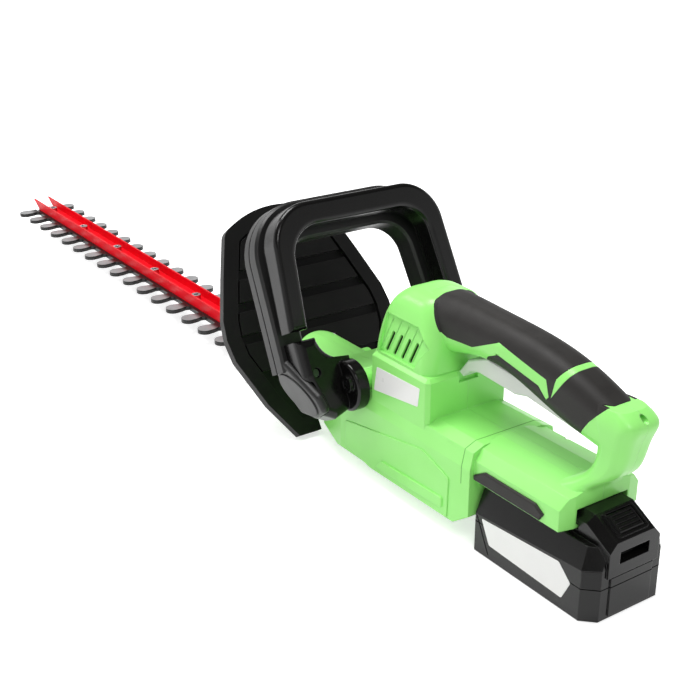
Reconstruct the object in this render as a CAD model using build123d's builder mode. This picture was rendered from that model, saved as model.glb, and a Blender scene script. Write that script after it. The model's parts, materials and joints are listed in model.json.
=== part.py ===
from build123d import *
import math
import os

os.makedirs("parts", exist_ok=True)

# Cordless hedge trimmer in millimetres. The blade points along -X, the left side is -Y and +Z is up.
# The origin is the centre of the battery pack's flat base, which the tool stands on.

# Clearances
slide_gap = 0.4
seat_gap = 0.3
shaft_gap = 0.05
blade_gap = 0.3

# Battery pack
pack_length = 120
pack_width = 76
pack_corner = 9.7
pack_front_corner = 2
pack_foot = 0.8
lower_case_height = 26
upright_top = 36.5
upright_slope = 4.4
shoulder_top = 54
shoulder_inset = 9
shoulder_rear_inset = 4.5
case_wall = 2.5
rail_width = 48
rail_top = 72
rail_setback = 8
rail_groove_depth = 3
hump_chamfer = 6
hump_proud = 1.5
hump_foot = 34
panel_half = 20
panel_top = 33
panel_proud = 1
recess_half = 14
recess_height = 9
recess_depth = 8
lip_thickness = 3
latch_slope_run = 20
latch_slope_drop = 11
latch_width = 24
latch_length = 16
latch_depth = 6
latch_proud = 1.5
latch_travel = 3
latch_rim = 2.5
latch_rim_height = 1.2
side_groove_width = 1.5
side_groove_depth = 0.6
cell_radius = 9.1
cell_length = 65
cell_columns = 5
board_thickness = 1.6
contact_spacing = 10
contact_height = 8
contact_length = 12
contact_gap = 1.6
tab_thickness = 1
tab_reach = 18

# Housing
shell = 3
bay_gap = 2
belly_length = 167
belly_half = 42
belly_bottom = 7.5
belly_chamfer = 8
kick_length = 28
kick_height = 20
belly_shoulder = 66
belly_top = 87
nose_taper = 39
nose_length = 77
nose_half = 33
nose_bottom = 19
nose_top = 76
motor_from_bay = 94
tower_length = 80
tower_half = 40
tower_shoulder = 114
tower_ledge = 3
tower_top = 172
deck_half = 38
deck_clearance = 4
deck_length = 88
deck_side_top = 74
rib_thickness = 3
pad_length = 73
pad_height = 12
pad_depth = 2.5
pad_proud = 2
skin_thickness = 2.4

# Vents on the tower's flanks
vent_slots = 4
vent_pitch = 10
vent_width = 3.2
vent_height = 19
vent_depth = 2
vent_wall = 6
flute_width = 0.9
flute_depth = 0.6

# Rear handle and trigger
trigger_half = 9
trigger_throw = 4
trigger_pin_radius = 2
switch_length = 34
switch_height = 14
switch_half = 8

# Front loop handle and guard, which lean forward
lean = 28
loop_x = -230.2
loop_z = 134
frame_depth = 24
frame_half = 92
frame_taper = 4
frame_top = 103
frame_corner = 48
frame_opening_half = 68
frame_opening_top = 70
frame_opening_taper = 6
frame_opening_corner = 27
frame_band = 11
frame_seam = 1.5
frame_seam_depth = 1.2
bail_depth = 16
bail_swell = 6
bail_half = 89.5
bail_taper = 7.5
bail_top = 96.3
bail_corner = 37
bail_round = 4
bail_opening_half = 72.5
bail_opening_taper = 6.7
bail_opening_top = 76.5
bail_opening_corner = 27
bail_gap = 8
bail_travel = 6
tongue_width = 9.5
tongue_height = 12
tongue_inset = 3.75
foot_thickness = 8
hub_radius = 21
hub_height = 11
hub_round = 2.5
boot_half = 86
boot_round = 7
knob_radius = 7
spring_radius = 3
spring_length = 6
guard_lean = 34
guard_foot_x = -285.3
guard_thickness = 3
guard_rim_width = 14
guard_rim_depth = 5
guard_panel_depth = 4
guard_panel_gap = 2
guard_panel_foot = 66
guard_groove_width = 8.6
guard_groove_pitch = 29
guard_groove_rise = 97

# Blades
blade_thickness = 2
blade_level = 28.9
spine_half = 14
tooth_pitch = 35.5
tooth_count = 18
tooth_reach = 37.3
paddle_half_width = 8
paddle_half_length = 9.5
neck_width = 11
tip_tooth_x = -988
stroke = 16
channel_width = 21
channel_height = 11.5
channel_floor = 2
channel_wall = 1.6
channel_overhang = 18
channel_slant = 16
bolt_count = 8
bolt_pitch = 100
bolt_setback = 23
bolt_radius = 3
bolt_head_radius = 5
bolt_head_height = 5.5
nut_height = 4

# Drive
gear_module = 1
gear_teeth = 50
pinion_teeth = 10
gear_width = 10
crank_radius = 4.5
cam_cover = 1.5
bearing_radius = 10
bearing_width = 5.5
case_height = 24
case_wall_thickness = 4
base_thickness = 7
cover_thickness = 6
motor_radius = 21
motor_length = 60
motor_wall = 2
motor_shaft_radius = 2.5
rotor_gap = 3
fan_radius = 24
fan_height = 12
fan_blades = 9
screw_radius = 1.6
screw_head_radius = 3.2

# Places that follow from the sizes above
pack_front = -pack_length / 2
pack_rear = pack_length / 2
pack_half = pack_width / 2
rail_half = rail_width / 2
rail_front = pack_front + rail_setback
belly_rear = pack_front - bay_gap
belly_front = belly_rear - belly_length
deck_bottom = shoulder_top + deck_clearance
pad_front = belly_rear + 1
pad_rear = pad_front + pad_length
nose_start = belly_front - nose_taper
nose_front = nose_start - nose_length
motor_x = belly_rear - motor_from_bay
centre_distance = gear_module * (gear_teeth + pinion_teeth) / 2 + 0.15 * gear_module
gear_x = motor_x - centre_distance
upper_level = blade_level + blade_thickness + blade_gap
channel_level = upper_level + blade_thickness + blade_gap
crank_offset = stroke / 2
paddle_y = tooth_reach - paddle_half_length
slot_width = 2 * bolt_radius + 2 * slide_gap
cam_radius = crank_offset + crank_radius + cam_cover
cam_sweep = cam_radius + crank_offset
window_half_width = cam_sweep + slide_gap
window_half_length = cam_sweep + crank_offset + slide_gap
yoke_rail = 5
yoke_half = window_half_width + yoke_rail
yoke_front = gear_x - window_half_length - yoke_rail
yoke_rear = gear_x + window_half_length + yoke_rail
base_top = blade_level - blade_gap
base_bottom = base_top - base_thickness
case_bottom = channel_level
case_top = case_bottom + case_height
cover_top = case_top + cover_thickness
motor_top = cover_top + motor_length
fan_bottom = motor_top + 4
fan_top = fan_bottom + fan_height
case_half = yoke_half + crank_offset / 2
pinion_radius = gear_module * (pinion_teeth / 2 + 0.9)
motor_screw_reach = 13
nut_radius = 5.8
nut_bottom = base_top - nut_height
screw_head_y = 6
screw_tip_y = 12
pin_half = 11
guard_screw_rise = 56
gear_level = case_bottom + case_wall_thickness + 4
board_bottom = case_wall + 4 * cell_radius + 4 * seat_gap
case_front = yoke_front - crank_offset - seat_gap - 1
case_rear = yoke_rear + crank_offset + seat_gap + 1
bolt_x = [tip_tooth_x + bolt_setback + bolt_pitch * i for i in range(bolt_count)]
channel_front = tip_tooth_x - channel_overhang
channel_rear = case_front - seat_gap
loop_normal = (math.cos(math.radians(lean)), 0, math.sin(math.radians(lean)))
loop_plane = Plane(origin=(loop_x, 0, loop_z), x_dir=(0, 1, 0), z_dir=loop_normal)
guard_normal = (math.cos(math.radians(guard_lean)), 0, math.sin(math.radians(guard_lean)))
guard_plane = Plane(origin=(guard_foot_x, 0, 0), x_dir=(0, 1, 0), z_dir=guard_normal)
bail_rear_lean = math.radians(lean) - math.atan2(bail_swell, bail_top)
bail_rear_normal = (math.cos(bail_rear_lean), 0, math.sin(bail_rear_lean))
bail_rear_plane = Plane(origin=(loop_x, 0, loop_z), x_dir=(0, 1, 0), z_dir=bail_rear_normal)
bail_front = -bail_depth
frame_rear = bail_front - bail_gap
frame_front = frame_rear - frame_depth
frame_foot = -33
bail_foot = -4
tongue_foot = 0
tongue_middle = tongue_inset + tongue_width / 2
spring_rise = 26
bail_slope = bail_taper / (bail_top - bail_foot)
spring_y = bail_half - tongue_middle - bail_slope * (spring_rise - bail_foot)
groove_depth = tongue_height - bail_gap + bail_travel + 1.5
spring_room = bail_travel + 1.5
bracket_depth = bail_gap + bail_depth - 2
grip_level = tower_top + 4


def both_sides(points):
    """Points of a half outline, followed by their mirror images about the first coordinate's zero."""
    return points + [(-a, b) for a, b in reversed(points)]


def belly_form(inset):
    """Lower body between the battery bay and the nose, shrunk by inset."""
    half = belly_half - inset
    bottom = belly_bottom + inset
    with BuildPart() as form:
        with BuildSketch(Plane.XY):
            with BuildLine():
                Polyline(
                    (belly_rear - inset, -half),
                    (belly_front, -half),
                    (nose_start + inset, inset - nose_half),
                    (nose_start + inset, nose_half - inset),
                    (belly_front, half),
                    (belly_rear - inset, half),
                    close=True,
                )
            make_face()
        extrude(amount=belly_top)
        with BuildSketch(Plane.XZ):
            with BuildLine():
                Line((nose_start, nose_top - inset), (nose_start, nose_bottom + inset))
                ThreePointArc(
                    (nose_start, nose_bottom + inset),
                    ((nose_start + belly_rear) / 2 - 50, bottom + 3.5),
                    ((nose_start + belly_rear) / 2, bottom),
                )
                Polyline(
                    ((nose_start + belly_rear) / 2, bottom),
                    (belly_rear - kick_length - inset / 2, bottom),
                    (belly_rear, bottom + kick_height + inset / 2),
                    (belly_rear, belly_top - inset),
                )
                Line((belly_rear, belly_top - inset), (motor_x - tower_length / 2, belly_top - inset))
                Line((motor_x - tower_length / 2, belly_top - inset), (nose_start, nose_top - inset))
            make_face()
        extrude(amount=2 * belly_half, both=True, mode=Mode.INTERSECT)
        with BuildSketch(Plane.YZ.offset(nose_start)):
            with BuildLine():
                Polyline(
                    both_sides(
                        [
                            (half - belly_chamfer, bottom),
                            (half, bottom + belly_chamfer),
                            (half, belly_shoulder),
                            (half - 3, belly_shoulder + 14),
                            (half - 13, belly_top - 3 - inset),
                        ]
                    ),
                    close=True,
                )
            make_face()
        extrude(amount=belly_rear - nose_start, mode=Mode.INTERSECT)
    return form.part


def tower_form(inset):
    """Motor tower above its shoulder, closing to a dome, shrunk by inset."""
    height = tower_top - tower_shoulder
    sections = [(0, 72, 74, 11, 0), (0.35, 70, 70, 12, 0), (0.62, 66, 63, 14, 0), (0.87, 52, 53, 14, 1)]
    with BuildPart() as form:
        for share, length, width, corner, shift in sections:
            with BuildSketch(Plane.XY.offset(tower_shoulder - inset + share * height)):
                with Locations((motor_x + shift, 0)):
                    RectangleRounded(length - 2 * inset, width - 2 * inset, corner)
        with BuildSketch(Plane.XY.offset(tower_top - inset)):
            with Locations((motor_x + 6, 0)):
                RectangleRounded(33, 25, 8)
        loft()
    return form.part


def grip_form(inset):
    """Rear handle from inside the tower to the rear post, shrunk by inset."""
    stations = [
        (motor_x + 4, 173, 128, 24),
        (motor_x + 46, 174, 134, 21),
        (motor_x + 71, 173, 138, 19.5),
        (pack_rear - 89, 169, 129, 18.5),
        (pack_rear - 40, 156.5, 117, 17.2),
        (pack_rear - 14, 146.5, 112, 16),
    ]
    with BuildPart() as form:
        for x, top, bottom, half in stations:
            with BuildSketch(Plane.YZ.offset(x)):
                with Locations((0, (top + bottom) / 2)):
                    RectangleRounded(2 * half - 2 * inset, top - bottom - 2 * inset, half - inset - 4)
        loft()
    return form.part


def post_form(inset):
    """Rear post of the handle, shrunk by inset."""
    stations = [
        (deck_bottom + 12, -74, -34, 27, 9),
        (belly_top - 5, -58, -31, 25, 8),
        (belly_top + 4, -43, -24, 18.5, 8),
        (belly_top + 13, -35, -13, 15.5, 8),
        (belly_top + 31, -31, -5, 15.5, 9),
        (belly_top + 47, -34, 0, 17, 10),
        (belly_top + 62, -36, -9, 14, 9),
    ]
    with BuildPart() as form:
        for height, front, rear, half, corner in stations:
            with BuildSketch(Plane.XY.offset(height)):
                with Locations((pack_rear + (front + rear) / 2, 0)):
                    RectangleRounded(rear - front - 2 * inset, 2 * half - 2 * inset, corner - inset)
        loft()
    return form.part


def arch(half_bottom, half_top, bottom, top, corner):
    """Straight legs joined by a top with rounded corners."""
    with BuildSketch() as outline:
        with BuildLine():
            Polyline(both_sides([(half_bottom, bottom), (half_top, top)]), close=True)
        make_face()
        fillet(outline.vertices().group_by(Axis.Y)[-1], corner)
    return outline.sketch


def bail_arch(inset, bottom):
    """Outline of the bail drawn in by inset, from bottom up."""
    top = bail_top - inset
    return arch(
        bail_half - inset - bail_slope * (bottom - bail_foot),
        bail_half - inset - bail_slope * (top - bail_foot),
        bottom,
        top,
        bail_corner - inset,
    )


def toothed_wheel(teeth, width, bore, turn):
    """Spur gear with thin straight-flanked teeth about the local Z axis."""
    pitch_radius = gear_module * teeth / 2
    root = pitch_radius - 1.25 * gear_module
    tip = pitch_radius + 0.9 * gear_module
    with BuildSketch() as tooth:
        with BuildLine():
            Polyline(
                (root - 0.5 * gear_module, -0.9 * gear_module),
                (pitch_radius, -0.62 * gear_module),
                (tip, -0.3 * gear_module),
                (tip, 0.3 * gear_module),
                (pitch_radius, 0.62 * gear_module),
                (root - 0.5 * gear_module, 0.9 * gear_module),
                close=True,
            )
        make_face()
    with BuildPart() as wheel:
        with BuildSketch():
            Circle(root)
            with PolarLocations(0, teeth, start_angle=turn):
                add(tooth.sketch)
            Circle(bore, mode=Mode.SUBTRACT)
        extrude(amount=width)
    return wheel.part


# Bed over the battery rail, drawn in at its rear end
with BuildPart() as deck_form:
    with BuildSketch(Plane.XY.offset(deck_bottom)):
        with BuildLine():
            Polyline(
                (belly_rear - shell, -deck_half),
                (belly_rear + deck_length, -deck_half),
                (belly_rear + deck_length + 3, 12 - deck_half),
                (belly_rear + deck_length + 3, deck_half - 12),
                (belly_rear + deck_length, deck_half),
                (belly_rear - shell, deck_half),
                close=True,
            )
        make_face()
    extrude(amount=belly_top - deck_bottom)
    with BuildSketch(Plane.YZ.offset(belly_rear - shell)):
        with BuildLine():
            Polyline(
                both_sides(
                    [
                        (deck_half, deck_bottom),
                        (deck_half, deck_side_top),
                        (deck_half - 7, deck_side_top + 8),
                        (12, belly_top - 0.5),
                    ]
                ),
                close=True,
            )
        make_face()
    extrude(amount=pack_length + shell, mode=Mode.INTERSECT)

# Square lower storey of the motor tower, with a ledge round its top
with BuildPart() as tower_base:
    with BuildSketch(Plane.XY.offset(belly_shoulder - 6)):
        with BuildLine():
            Polyline(
                (motor_x - tower_length / 2, -tower_half + 11),
                (motor_x - tower_length / 2 + 9, -tower_half),
                (motor_x + tower_length / 2 - 3, -tower_half),
                (motor_x + tower_length / 2, -tower_half + 3),
                (motor_x + tower_length / 2, tower_half - 3),
                (motor_x + tower_length / 2 - 3, tower_half),
                (motor_x - tower_length / 2 + 9, tower_half),
                (motor_x - tower_length / 2, tower_half - 11),
                close=True,
            )
        make_face()
    extrude(amount=tower_shoulder + tower_ledge - belly_shoulder + 6)
    chamfer(tower_base.faces().sort_by(Axis.Z)[-1].edges(), tower_ledge)

# Room inside the two moulded halves
with BuildPart() as cavity:
    add(belly_form(shell))
    with BuildSketch(Plane.XY.offset(belly_shoulder)):
        with Locations((motor_x, 0)):
            RectangleRounded(tower_length - 6 * shell, 2 * tower_half - 4 * shell, 8)
    extrude(amount=tower_shoulder - belly_shoulder)
    add(tower_form(vent_wall))

# Cross ribs that cradle the gearbox and the motor
with BuildPart() as ribs:
    with Locations(*[(motor_x + shift, 0, tower_shoulder / 2) for shift in (-60, -10, 10, 58)]):
        Box(rib_thickness, 2 * belly_half, tower_shoulder - 2)
    add(cavity.part, mode=Mode.INTERSECT)

# Slanted vents in a sunk panel on the left flank of the tower
flank_tilt = math.radians(10)
flank_plane = Plane(
    origin=(motor_x, 3 - tower_half, tower_shoulder + 2),
    x_dir=(1, 0, 0),
    z_dir=(0, -math.cos(flank_tilt), math.sin(flank_tilt)),
)
with BuildPart() as vent_cut:
    with BuildSketch(flank_plane.offset(8)):
        with BuildLine():
            Polyline((-27, 3), (19, 3), (30, 22), (16, 35), (-24, 35), close=True)
        make_face()
    extrude(amount=-8 - vent_depth)
    with BuildSketch(flank_plane):
        with Locations((-2, 13.5)):
            with GridLocations(vent_pitch, 1, vent_slots, 1):
                SlotOverall(vent_height, vent_width, rotation=70)
    extrude(amount=-2 * vent_wall)
    with BuildSketch(flank_plane.offset(-vent_depth)):
        with Locations((-2, 19)):
            with GridLocations(vent_pitch, 1, vent_slots + 1, 1):
                SlotOverall(vent_height + 9, flute_width, rotation=70)
    extrude(amount=-flute_depth)

# Lever outline of the trigger and the slot it swings in
pin_x = pack_rear - 46
trigger_front = motor_x + tower_length / 2 - 2
trigger_sole = belly_top + 29.5
pin_z = trigger_sole + 12
crest_z = trigger_sole + 22.5
trigger_crest = trigger_front + 32
lift = math.tan(math.radians(trigger_throw))
slot_roof = crest_z + (pin_x - trigger_crest) * lift + 3
switch_x = trigger_crest + 32
switch_bottom = crest_z - 1.6 + (pin_x - trigger_crest) * lift
with BuildPart() as trigger_slot:
    with BuildSketch(Plane.XZ):
        with BuildLine():
            Polyline(
                (trigger_front - 1, trigger_sole - 8),
                (trigger_front - 1, trigger_sole + 20),
                (trigger_crest - 10, slot_roof),
                (trigger_crest + 14, slot_roof),
                (pin_x + 8.5, pin_z + 7),
                (pin_x + 8.5, trigger_sole - 8),
                close=True,
            )
        make_face()
    extrude(amount=trigger_half + slide_gap, both=True)

# Where the soft skin lies on the rear handle, seen from the side
ring_x = pack_rear - 66
with BuildPart() as skin_zone:
    with BuildSketch(Plane.XZ):
        with BuildLine():
            Polyline(
                (motor_x + 17, grip_level - 4),
                (motor_x + 22, grip_level - 10),
                (motor_x + 31.5, grip_level - 25.5),
                (motor_x + 38, grip_level - 28),
                (motor_x + 64, grip_level - 27.5),
                (motor_x + 92, grip_level - 14.5),
                (ring_x - 9, grip_level - 25),
                (ring_x - 5.5, grip_level - 37),
                (ring_x - 8, grip_level - 39.5),
                (ring_x - 16, grip_level - 32),
                (motor_x + 92, grip_level - 24),
                (motor_x + 81, grip_level - 29),
                (motor_x + 66, grip_level - 42),
                (pin_x + 2, trigger_sole - 20),
                (pin_x + 2, trigger_sole + 4),
                (pin_x + 12, trigger_sole + 19),
                (pin_x + 28, grip_level - 23),
                (pin_x + 28, grip_level + 20),
                (motor_x + 17, grip_level + 20),
                close=True,
            )
        make_face()
        with BuildLine():
            Polyline(
                (ring_x - 3.5, grip_level - 37),
                (ring_x, grip_level - 21.5),
                (ring_x + 16, grip_level + 4),
                (ring_x + 20.5, grip_level + 4),
                (ring_x + 5, grip_level - 24.4),
                close=True,
            )
        make_face(mode=Mode.SUBTRACT)
    extrude(amount=tower_half, both=True)
    add(grip_form(skin_thickness), mode=Mode.SUBTRACT)
    add(tower_form(skin_thickness), mode=Mode.SUBTRACT)
    add(post_form(skin_thickness), mode=Mode.SUBTRACT)

with BuildPart() as grip_overmould:
    add(grip_form(0))
    add(tower_form(0))
    add(post_form(0))
    add(skin_zone.part, mode=Mode.INTERSECT)
    add(trigger_slot.part, mode=Mode.SUBTRACT)

# Soft pads along the deck's sides, let into it and standing proud
with BuildPart() as left_pad:
    with BuildSketch(Plane.XZ.offset(deck_half - pad_depth)):
        with BuildLine():
            Polyline(
                (pad_front, deck_bottom + 1),
                (pad_front, deck_bottom + 5),
                (pad_front + pad_height, deck_bottom + pad_height),
                (pad_rear - 8, deck_bottom + pad_height),
                (pad_rear, deck_bottom + 7),
                (pad_rear - 4, deck_bottom + 1),
                close=True,
            )
        make_face()
    extrude(amount=pad_depth + pad_proud)
    fillet(left_pad.faces().sort_by(Axis.Y)[0].edges(), pad_proud - 0.3)

with BuildPart() as rail_pads:
    add(left_pad.part)
    add(left_pad.part.mirror(Plane.XZ))

# Whole casing, halved below
screw_places = [
    (nose_start - 30, nose_top - 14, 12),
    (nose_start + 13, nose_top - 18, nose_half),
    (motor_x + 66, belly_top - 13, belly_half - 2.5),
    (motor_x + 66, belly_bottom + 10.5, belly_half - 2.5),
    (motor_x + 30, grip_level - 34, 12),
    (pack_front + 22, belly_top - 8, 12),
    (pack_rear - 19, belly_top + 22, 12),
]
boss_x = gear_x - 13
boss_z = belly_top + 1
board_level = belly_bottom + 26
board_length = 40
board_half = 30
board_x = belly_rear - shell - 4 - board_length / 2
with BuildPart() as housing:
    add(belly_form(0))
    with BuildSketch(Plane.YZ.offset(nose_front)):
        with BuildLine():
            Polyline(
                (-nose_half, nose_top - 22),
                (-nose_half, nose_bottom + 6),
                (6 - nose_half, nose_bottom),
                (nose_half - 6, nose_bottom),
                (nose_half, nose_bottom + 6),
                (nose_half, nose_top - 22),
            )
            ThreePointArc((nose_half, nose_top - 22), (0, nose_top), (-nose_half, nose_top - 22))
        make_face()
    extrude(amount=nose_length + 3)
    add(tower_base.part)
    add(deck_form.part)
    add(tower_form(0))
    add(cavity.part, mode=Mode.SUBTRACT)
    add(ribs.part)
    add(grip_form(0))
    add(post_form(0))
    for x, z, reach in screw_places:
        with Locations(Location((x, 0, z), (90, 0, 0))):
            Cylinder(5, 2 * reach)
    with Locations(Location((boss_x, 0, boss_z), (90, 0, 0))):
        Cylinder(9, 2 * belly_half)
    # Lugs that the guard is screwed to
    with BuildSketch(guard_plane):
        for side in (-1, 1):
            with Locations((side * (nose_half + 5), guard_screw_rise)):
                RectangleRounded(20, 12, 5)
    extrude(amount=10)
    # Channel for the pack's rail, with a lip along each side
    with BuildSketch(Plane.YZ.offset(belly_rear)):
        with BuildLine():
            Polyline(
                both_sides(
                    [
                        (rail_half - rail_groove_depth + slide_gap, deck_bottom - 5),
                        (rail_half - rail_groove_depth + slide_gap, deck_bottom + lip_thickness),
                        (rail_half + slide_gap, deck_bottom + lip_thickness),
                        (rail_half + slide_gap, rail_top + slide_gap),
                    ]
                ),
                close=True,
            )
        make_face()
    extrude(amount=2 * pack_length, mode=Mode.SUBTRACT)
    # Pockets of the soft pads
    add(rail_pads.part, mode=Mode.SUBTRACT)
    # Room for the gearbox, motor and fan
    with Locations(((case_front + case_rear) / 2, 0, base_bottom)):
        Box(
            case_rear - case_front + 2 * seat_gap,
            2 * case_half + 2 * seat_gap,
            cover_top - base_bottom + seat_gap,
            align=(Align.CENTER, Align.CENTER, Align.MIN),
            mode=Mode.SUBTRACT,
        )
    with Locations((motor_x, 0, cover_top)):
        Cylinder(
            motor_radius + seat_gap,
            motor_length + 2,
            align=(Align.CENTER, Align.CENTER, Align.MIN),
            mode=Mode.SUBTRACT,
        )
    with Locations((motor_x, 0, motor_top)):
        Cylinder(
            fan_radius + 2,
            fan_height + 8,
            align=(Align.CENTER, Align.CENTER, Align.MIN),
            mode=Mode.SUBTRACT,
        )
    # Seat of the controller board
    with Locations((board_x, 0, board_level)):
        Box(
            board_length + 2 * seat_gap,
            2 * board_half + 2 * seat_gap,
            32,
            align=(Align.CENTER, Align.CENTER, Align.MIN),
            mode=Mode.SUBTRACT,
        )
    # Way through the nose for the channel, the blades and the nuts
    with BuildSketch(Plane.YZ.offset(nose_front)):
        with Locations((0, channel_level)):
            Rectangle(
                channel_width + 2 * seat_gap,
                channel_height + seat_gap,
                align=(Align.CENTER, Align.MIN),
            )
        with Locations((0, blade_level - blade_gap)):
            Rectangle(
                2 * (spine_half + slide_gap),
                channel_level - blade_level + blade_gap,
                align=(Align.CENTER, Align.MIN),
            )
        with Locations((0, blade_level - blade_gap)):
            Rectangle(2 * nut_radius + 1, nut_height + seat_gap, align=(Align.CENTER, Align.MAX))
    extrude(amount=case_front - nose_front + 2, mode=Mode.SUBTRACT)
    # Soft skin, trigger slot, its pin and the switch
    add(skin_zone.part, mode=Mode.SUBTRACT)
    add(trigger_slot.part, mode=Mode.SUBTRACT)
    with Locations(Location((pin_x, 0, pin_z), (90, 0, 0))):
        Cylinder(trigger_pin_radius + shaft_gap, 2 * pin_half, mode=Mode.SUBTRACT)
    with Locations((switch_x, 0, switch_bottom)):
        Box(
            switch_length + 2 * seat_gap,
            2 * switch_half + 2 * seat_gap,
            switch_height + seat_gap,
            align=(Align.CENTER, Align.CENTER, Align.MIN),
            mode=Mode.SUBTRACT,
        )
    # Vents on both flanks
    add(vent_cut.part, mode=Mode.SUBTRACT)
    add(vent_cut.part.mirror(Plane.XZ), mode=Mode.SUBTRACT)
    # Screws, sunk from the right
    for x, z, reach in screw_places:
        with Locations(Location((x, (screw_head_y - screw_tip_y) / 2, z), (90, 0, 0))):
            Cylinder(screw_radius + shaft_gap, screw_head_y + screw_tip_y, mode=Mode.SUBTRACT)
        with Locations(Location((x, screw_head_y + belly_half, z), (90, 0, 0))):
            Cylinder(screw_head_radius + seat_gap, 2 * belly_half, mode=Mode.SUBTRACT)
    for side in (-1, 1):
        with Locations(Location((boss_x, side * belly_half, boss_z), (90, 0, 0))):
            Cylinder(screw_radius + shaft_gap, 24, mode=Mode.SUBTRACT)
    with BuildSketch(guard_plane):
        for side in (-1, 1):
            with Locations((side * (nose_half + 9), guard_screw_rise)):
                Circle(screw_radius + shaft_gap)
    extrude(amount=10, mode=Mode.SUBTRACT)
    # Hollow in the rear face of the post
    with Locations(Location((pack_rear - 5, 0, belly_top + 58), (0, 90, 0))):
        Cylinder(2.5, 12, mode=Mode.SUBTRACT)

with BuildPart() as housing_left:
    add(housing.part)
    split(bisect_by=Plane.XZ, keep=Keep.TOP)

with BuildPart() as housing_right:
    add(housing.part)
    split(bisect_by=Plane.XZ, keep=Keep.BOTTOM)

with BuildPart() as housing_screws:
    for x, z, reach in screw_places:
        with Locations(Location((x, (screw_head_y - screw_tip_y) / 2, z), (90, 0, 0))):
            Cylinder(screw_radius, screw_head_y + screw_tip_y)
        with Locations(Location((x, screw_head_y, z), (-90, 0, 0))):
            Cylinder(screw_head_radius, 2.5, align=(Align.CENTER, Align.CENTER, Align.MIN))

# Trigger
with BuildPart() as trigger_lever:
    with BuildSketch(Plane.XZ):
        with BuildLine():
            Polyline(
                (trigger_front, trigger_sole + 0.5),
                (trigger_front + 5, trigger_sole - 2),
                (trigger_front + 12, trigger_sole + 4.5),
                (trigger_front + 23, trigger_sole + 7.5),
                (trigger_front + 62, trigger_sole + 5),
                (trigger_front + 75, trigger_sole + 8),
                (pin_x + 7, trigger_sole),
                (pin_x + 7, pin_z + 3),
                (pin_x - 5, pin_z + 4),
                (trigger_crest, crest_z),
                (trigger_front + 10, crest_z - 9),
                close=True,
            )
        make_face()
    extrude(amount=trigger_half, both=True)
    chamfer(trigger_lever.faces().filter_by(Axis.Y).edges(), 1.2)
    with Locations(Location((pin_x, 0, pin_z), (90, 0, 0))):
        Cylinder(trigger_pin_radius + shaft_gap, 2 * pack_width, mode=Mode.SUBTRACT)

with BuildPart() as trigger_pin:
    with Locations(Location((pin_x, 0, pin_z), (90, 0, 0))):
        Cylinder(trigger_pin_radius, 2 * pin_half)

with BuildPart() as trigger_spring:
    with Locations((trigger_crest, 0, crest_z)):
        Cylinder(3.5, slot_roof - crest_z, align=(Align.CENTER, Align.CENTER, Align.MIN))
        Cylinder(2.5, 40, mode=Mode.SUBTRACT)

with BuildPart() as trigger_switch:
    with Locations((switch_x, 0, switch_bottom)):
        Box(switch_length, 2 * switch_half, switch_height, align=(Align.CENTER, Align.CENTER, Align.MIN))
    chamfer(trigger_switch.edges().filter_by(Axis.Z), 1)

# Leaf-shaped foot at the lower end of the loop's left leg
foot_tilt = math.radians(16)
foot_plane = Plane(
    origin=(loop_x + 1.2, -frame_half + 7, loop_z - 57),
    x_dir=(1, 0, 0),
    z_dir=(0, -math.cos(foot_tilt), -math.sin(foot_tilt)),
)
with BuildSketch() as foot_outline:
    with BuildLine():
        Polyline(
            (-39, 23),
            (-27, 3),
            (-17, -13),
            (-4, -24),
            (20, -19),
            (38, -5),
            (32, 7),
            (20, 12),
            (-10, 24),
            close=True,
        )
    make_face()
    fillet(foot_outline.vertices(), 5)

with BuildPart() as foot:
    with BuildSketch(foot_plane):
        add(foot_outline.sketch)
    extrude(amount=-foot_thickness)
    fillet(foot.faces().sort_by(Axis.Y)[0].edges(), 3.5)
    with BuildSketch(foot_plane):
        with Locations((8, -6)):
            Ellipse(17, 9, rotation=20)
    extrude(amount=-1, mode=Mode.SUBTRACT)

# Front half of the loop, with the tongue that guides the bail
along_lean = Axis((loop_x, 0, loop_z), loop_normal)
frame_crown = frame_half - frame_taper
with BuildPart() as handle_frame:
    with BuildSketch(loop_plane.offset(frame_front)):
        add(arch(frame_half, frame_crown, frame_foot, frame_top, frame_corner))
        add(
            arch(
                frame_opening_half,
                frame_opening_half - frame_opening_taper,
                frame_foot,
                frame_opening_top,
                frame_opening_corner,
            ),
            mode=Mode.SUBTRACT,
        )
    extrude(amount=frame_depth)
    chamfer(handle_frame.faces().sort_by(along_lean)[-1].edges(), 2)
    chamfer(handle_frame.faces().sort_by(along_lean)[0].edges(), 3)
    # Seam between the two bands of the frame's outer side
    with BuildSketch(loop_plane.offset(frame_front + frame_band)):
        add(arch(frame_half + 1, frame_crown + 1, frame_foot, frame_top + 1, frame_corner + 1))
        add(
            arch(
                frame_half - frame_seam_depth,
                frame_crown - frame_seam_depth,
                frame_foot,
                frame_top - frame_seam_depth,
                frame_corner - frame_seam_depth,
            ),
            mode=Mode.SUBTRACT,
        )
    extrude(amount=frame_seam, mode=Mode.SUBTRACT)
    with BuildSketch(loop_plane.offset(frame_rear)):
        add(bail_arch(tongue_inset, tongue_foot))
        add(bail_arch(tongue_inset + tongue_width, tongue_foot), mode=Mode.SUBTRACT)
    extrude(amount=tongue_height)
    # Bores for the return springs and the pocket of the switch
    for side in (-1, 1):
        with BuildSketch(loop_plane.offset(frame_rear + tongue_height)):
            with Locations((side * spring_y, spring_rise)):
                Circle(spring_radius + seat_gap)
        extrude(amount=-bail_travel - spring_length, mode=Mode.SUBTRACT)
    with BuildSketch(loop_plane.offset(frame_rear + tongue_height)):
        with Locations((0, bail_top - tongue_middle)):
            Rectangle(24, tongue_width - 3)
    extrude(amount=-tongue_height, mode=Mode.SUBTRACT)
    add(foot.part)
    add(foot.part.mirror(Plane.XZ))

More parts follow.
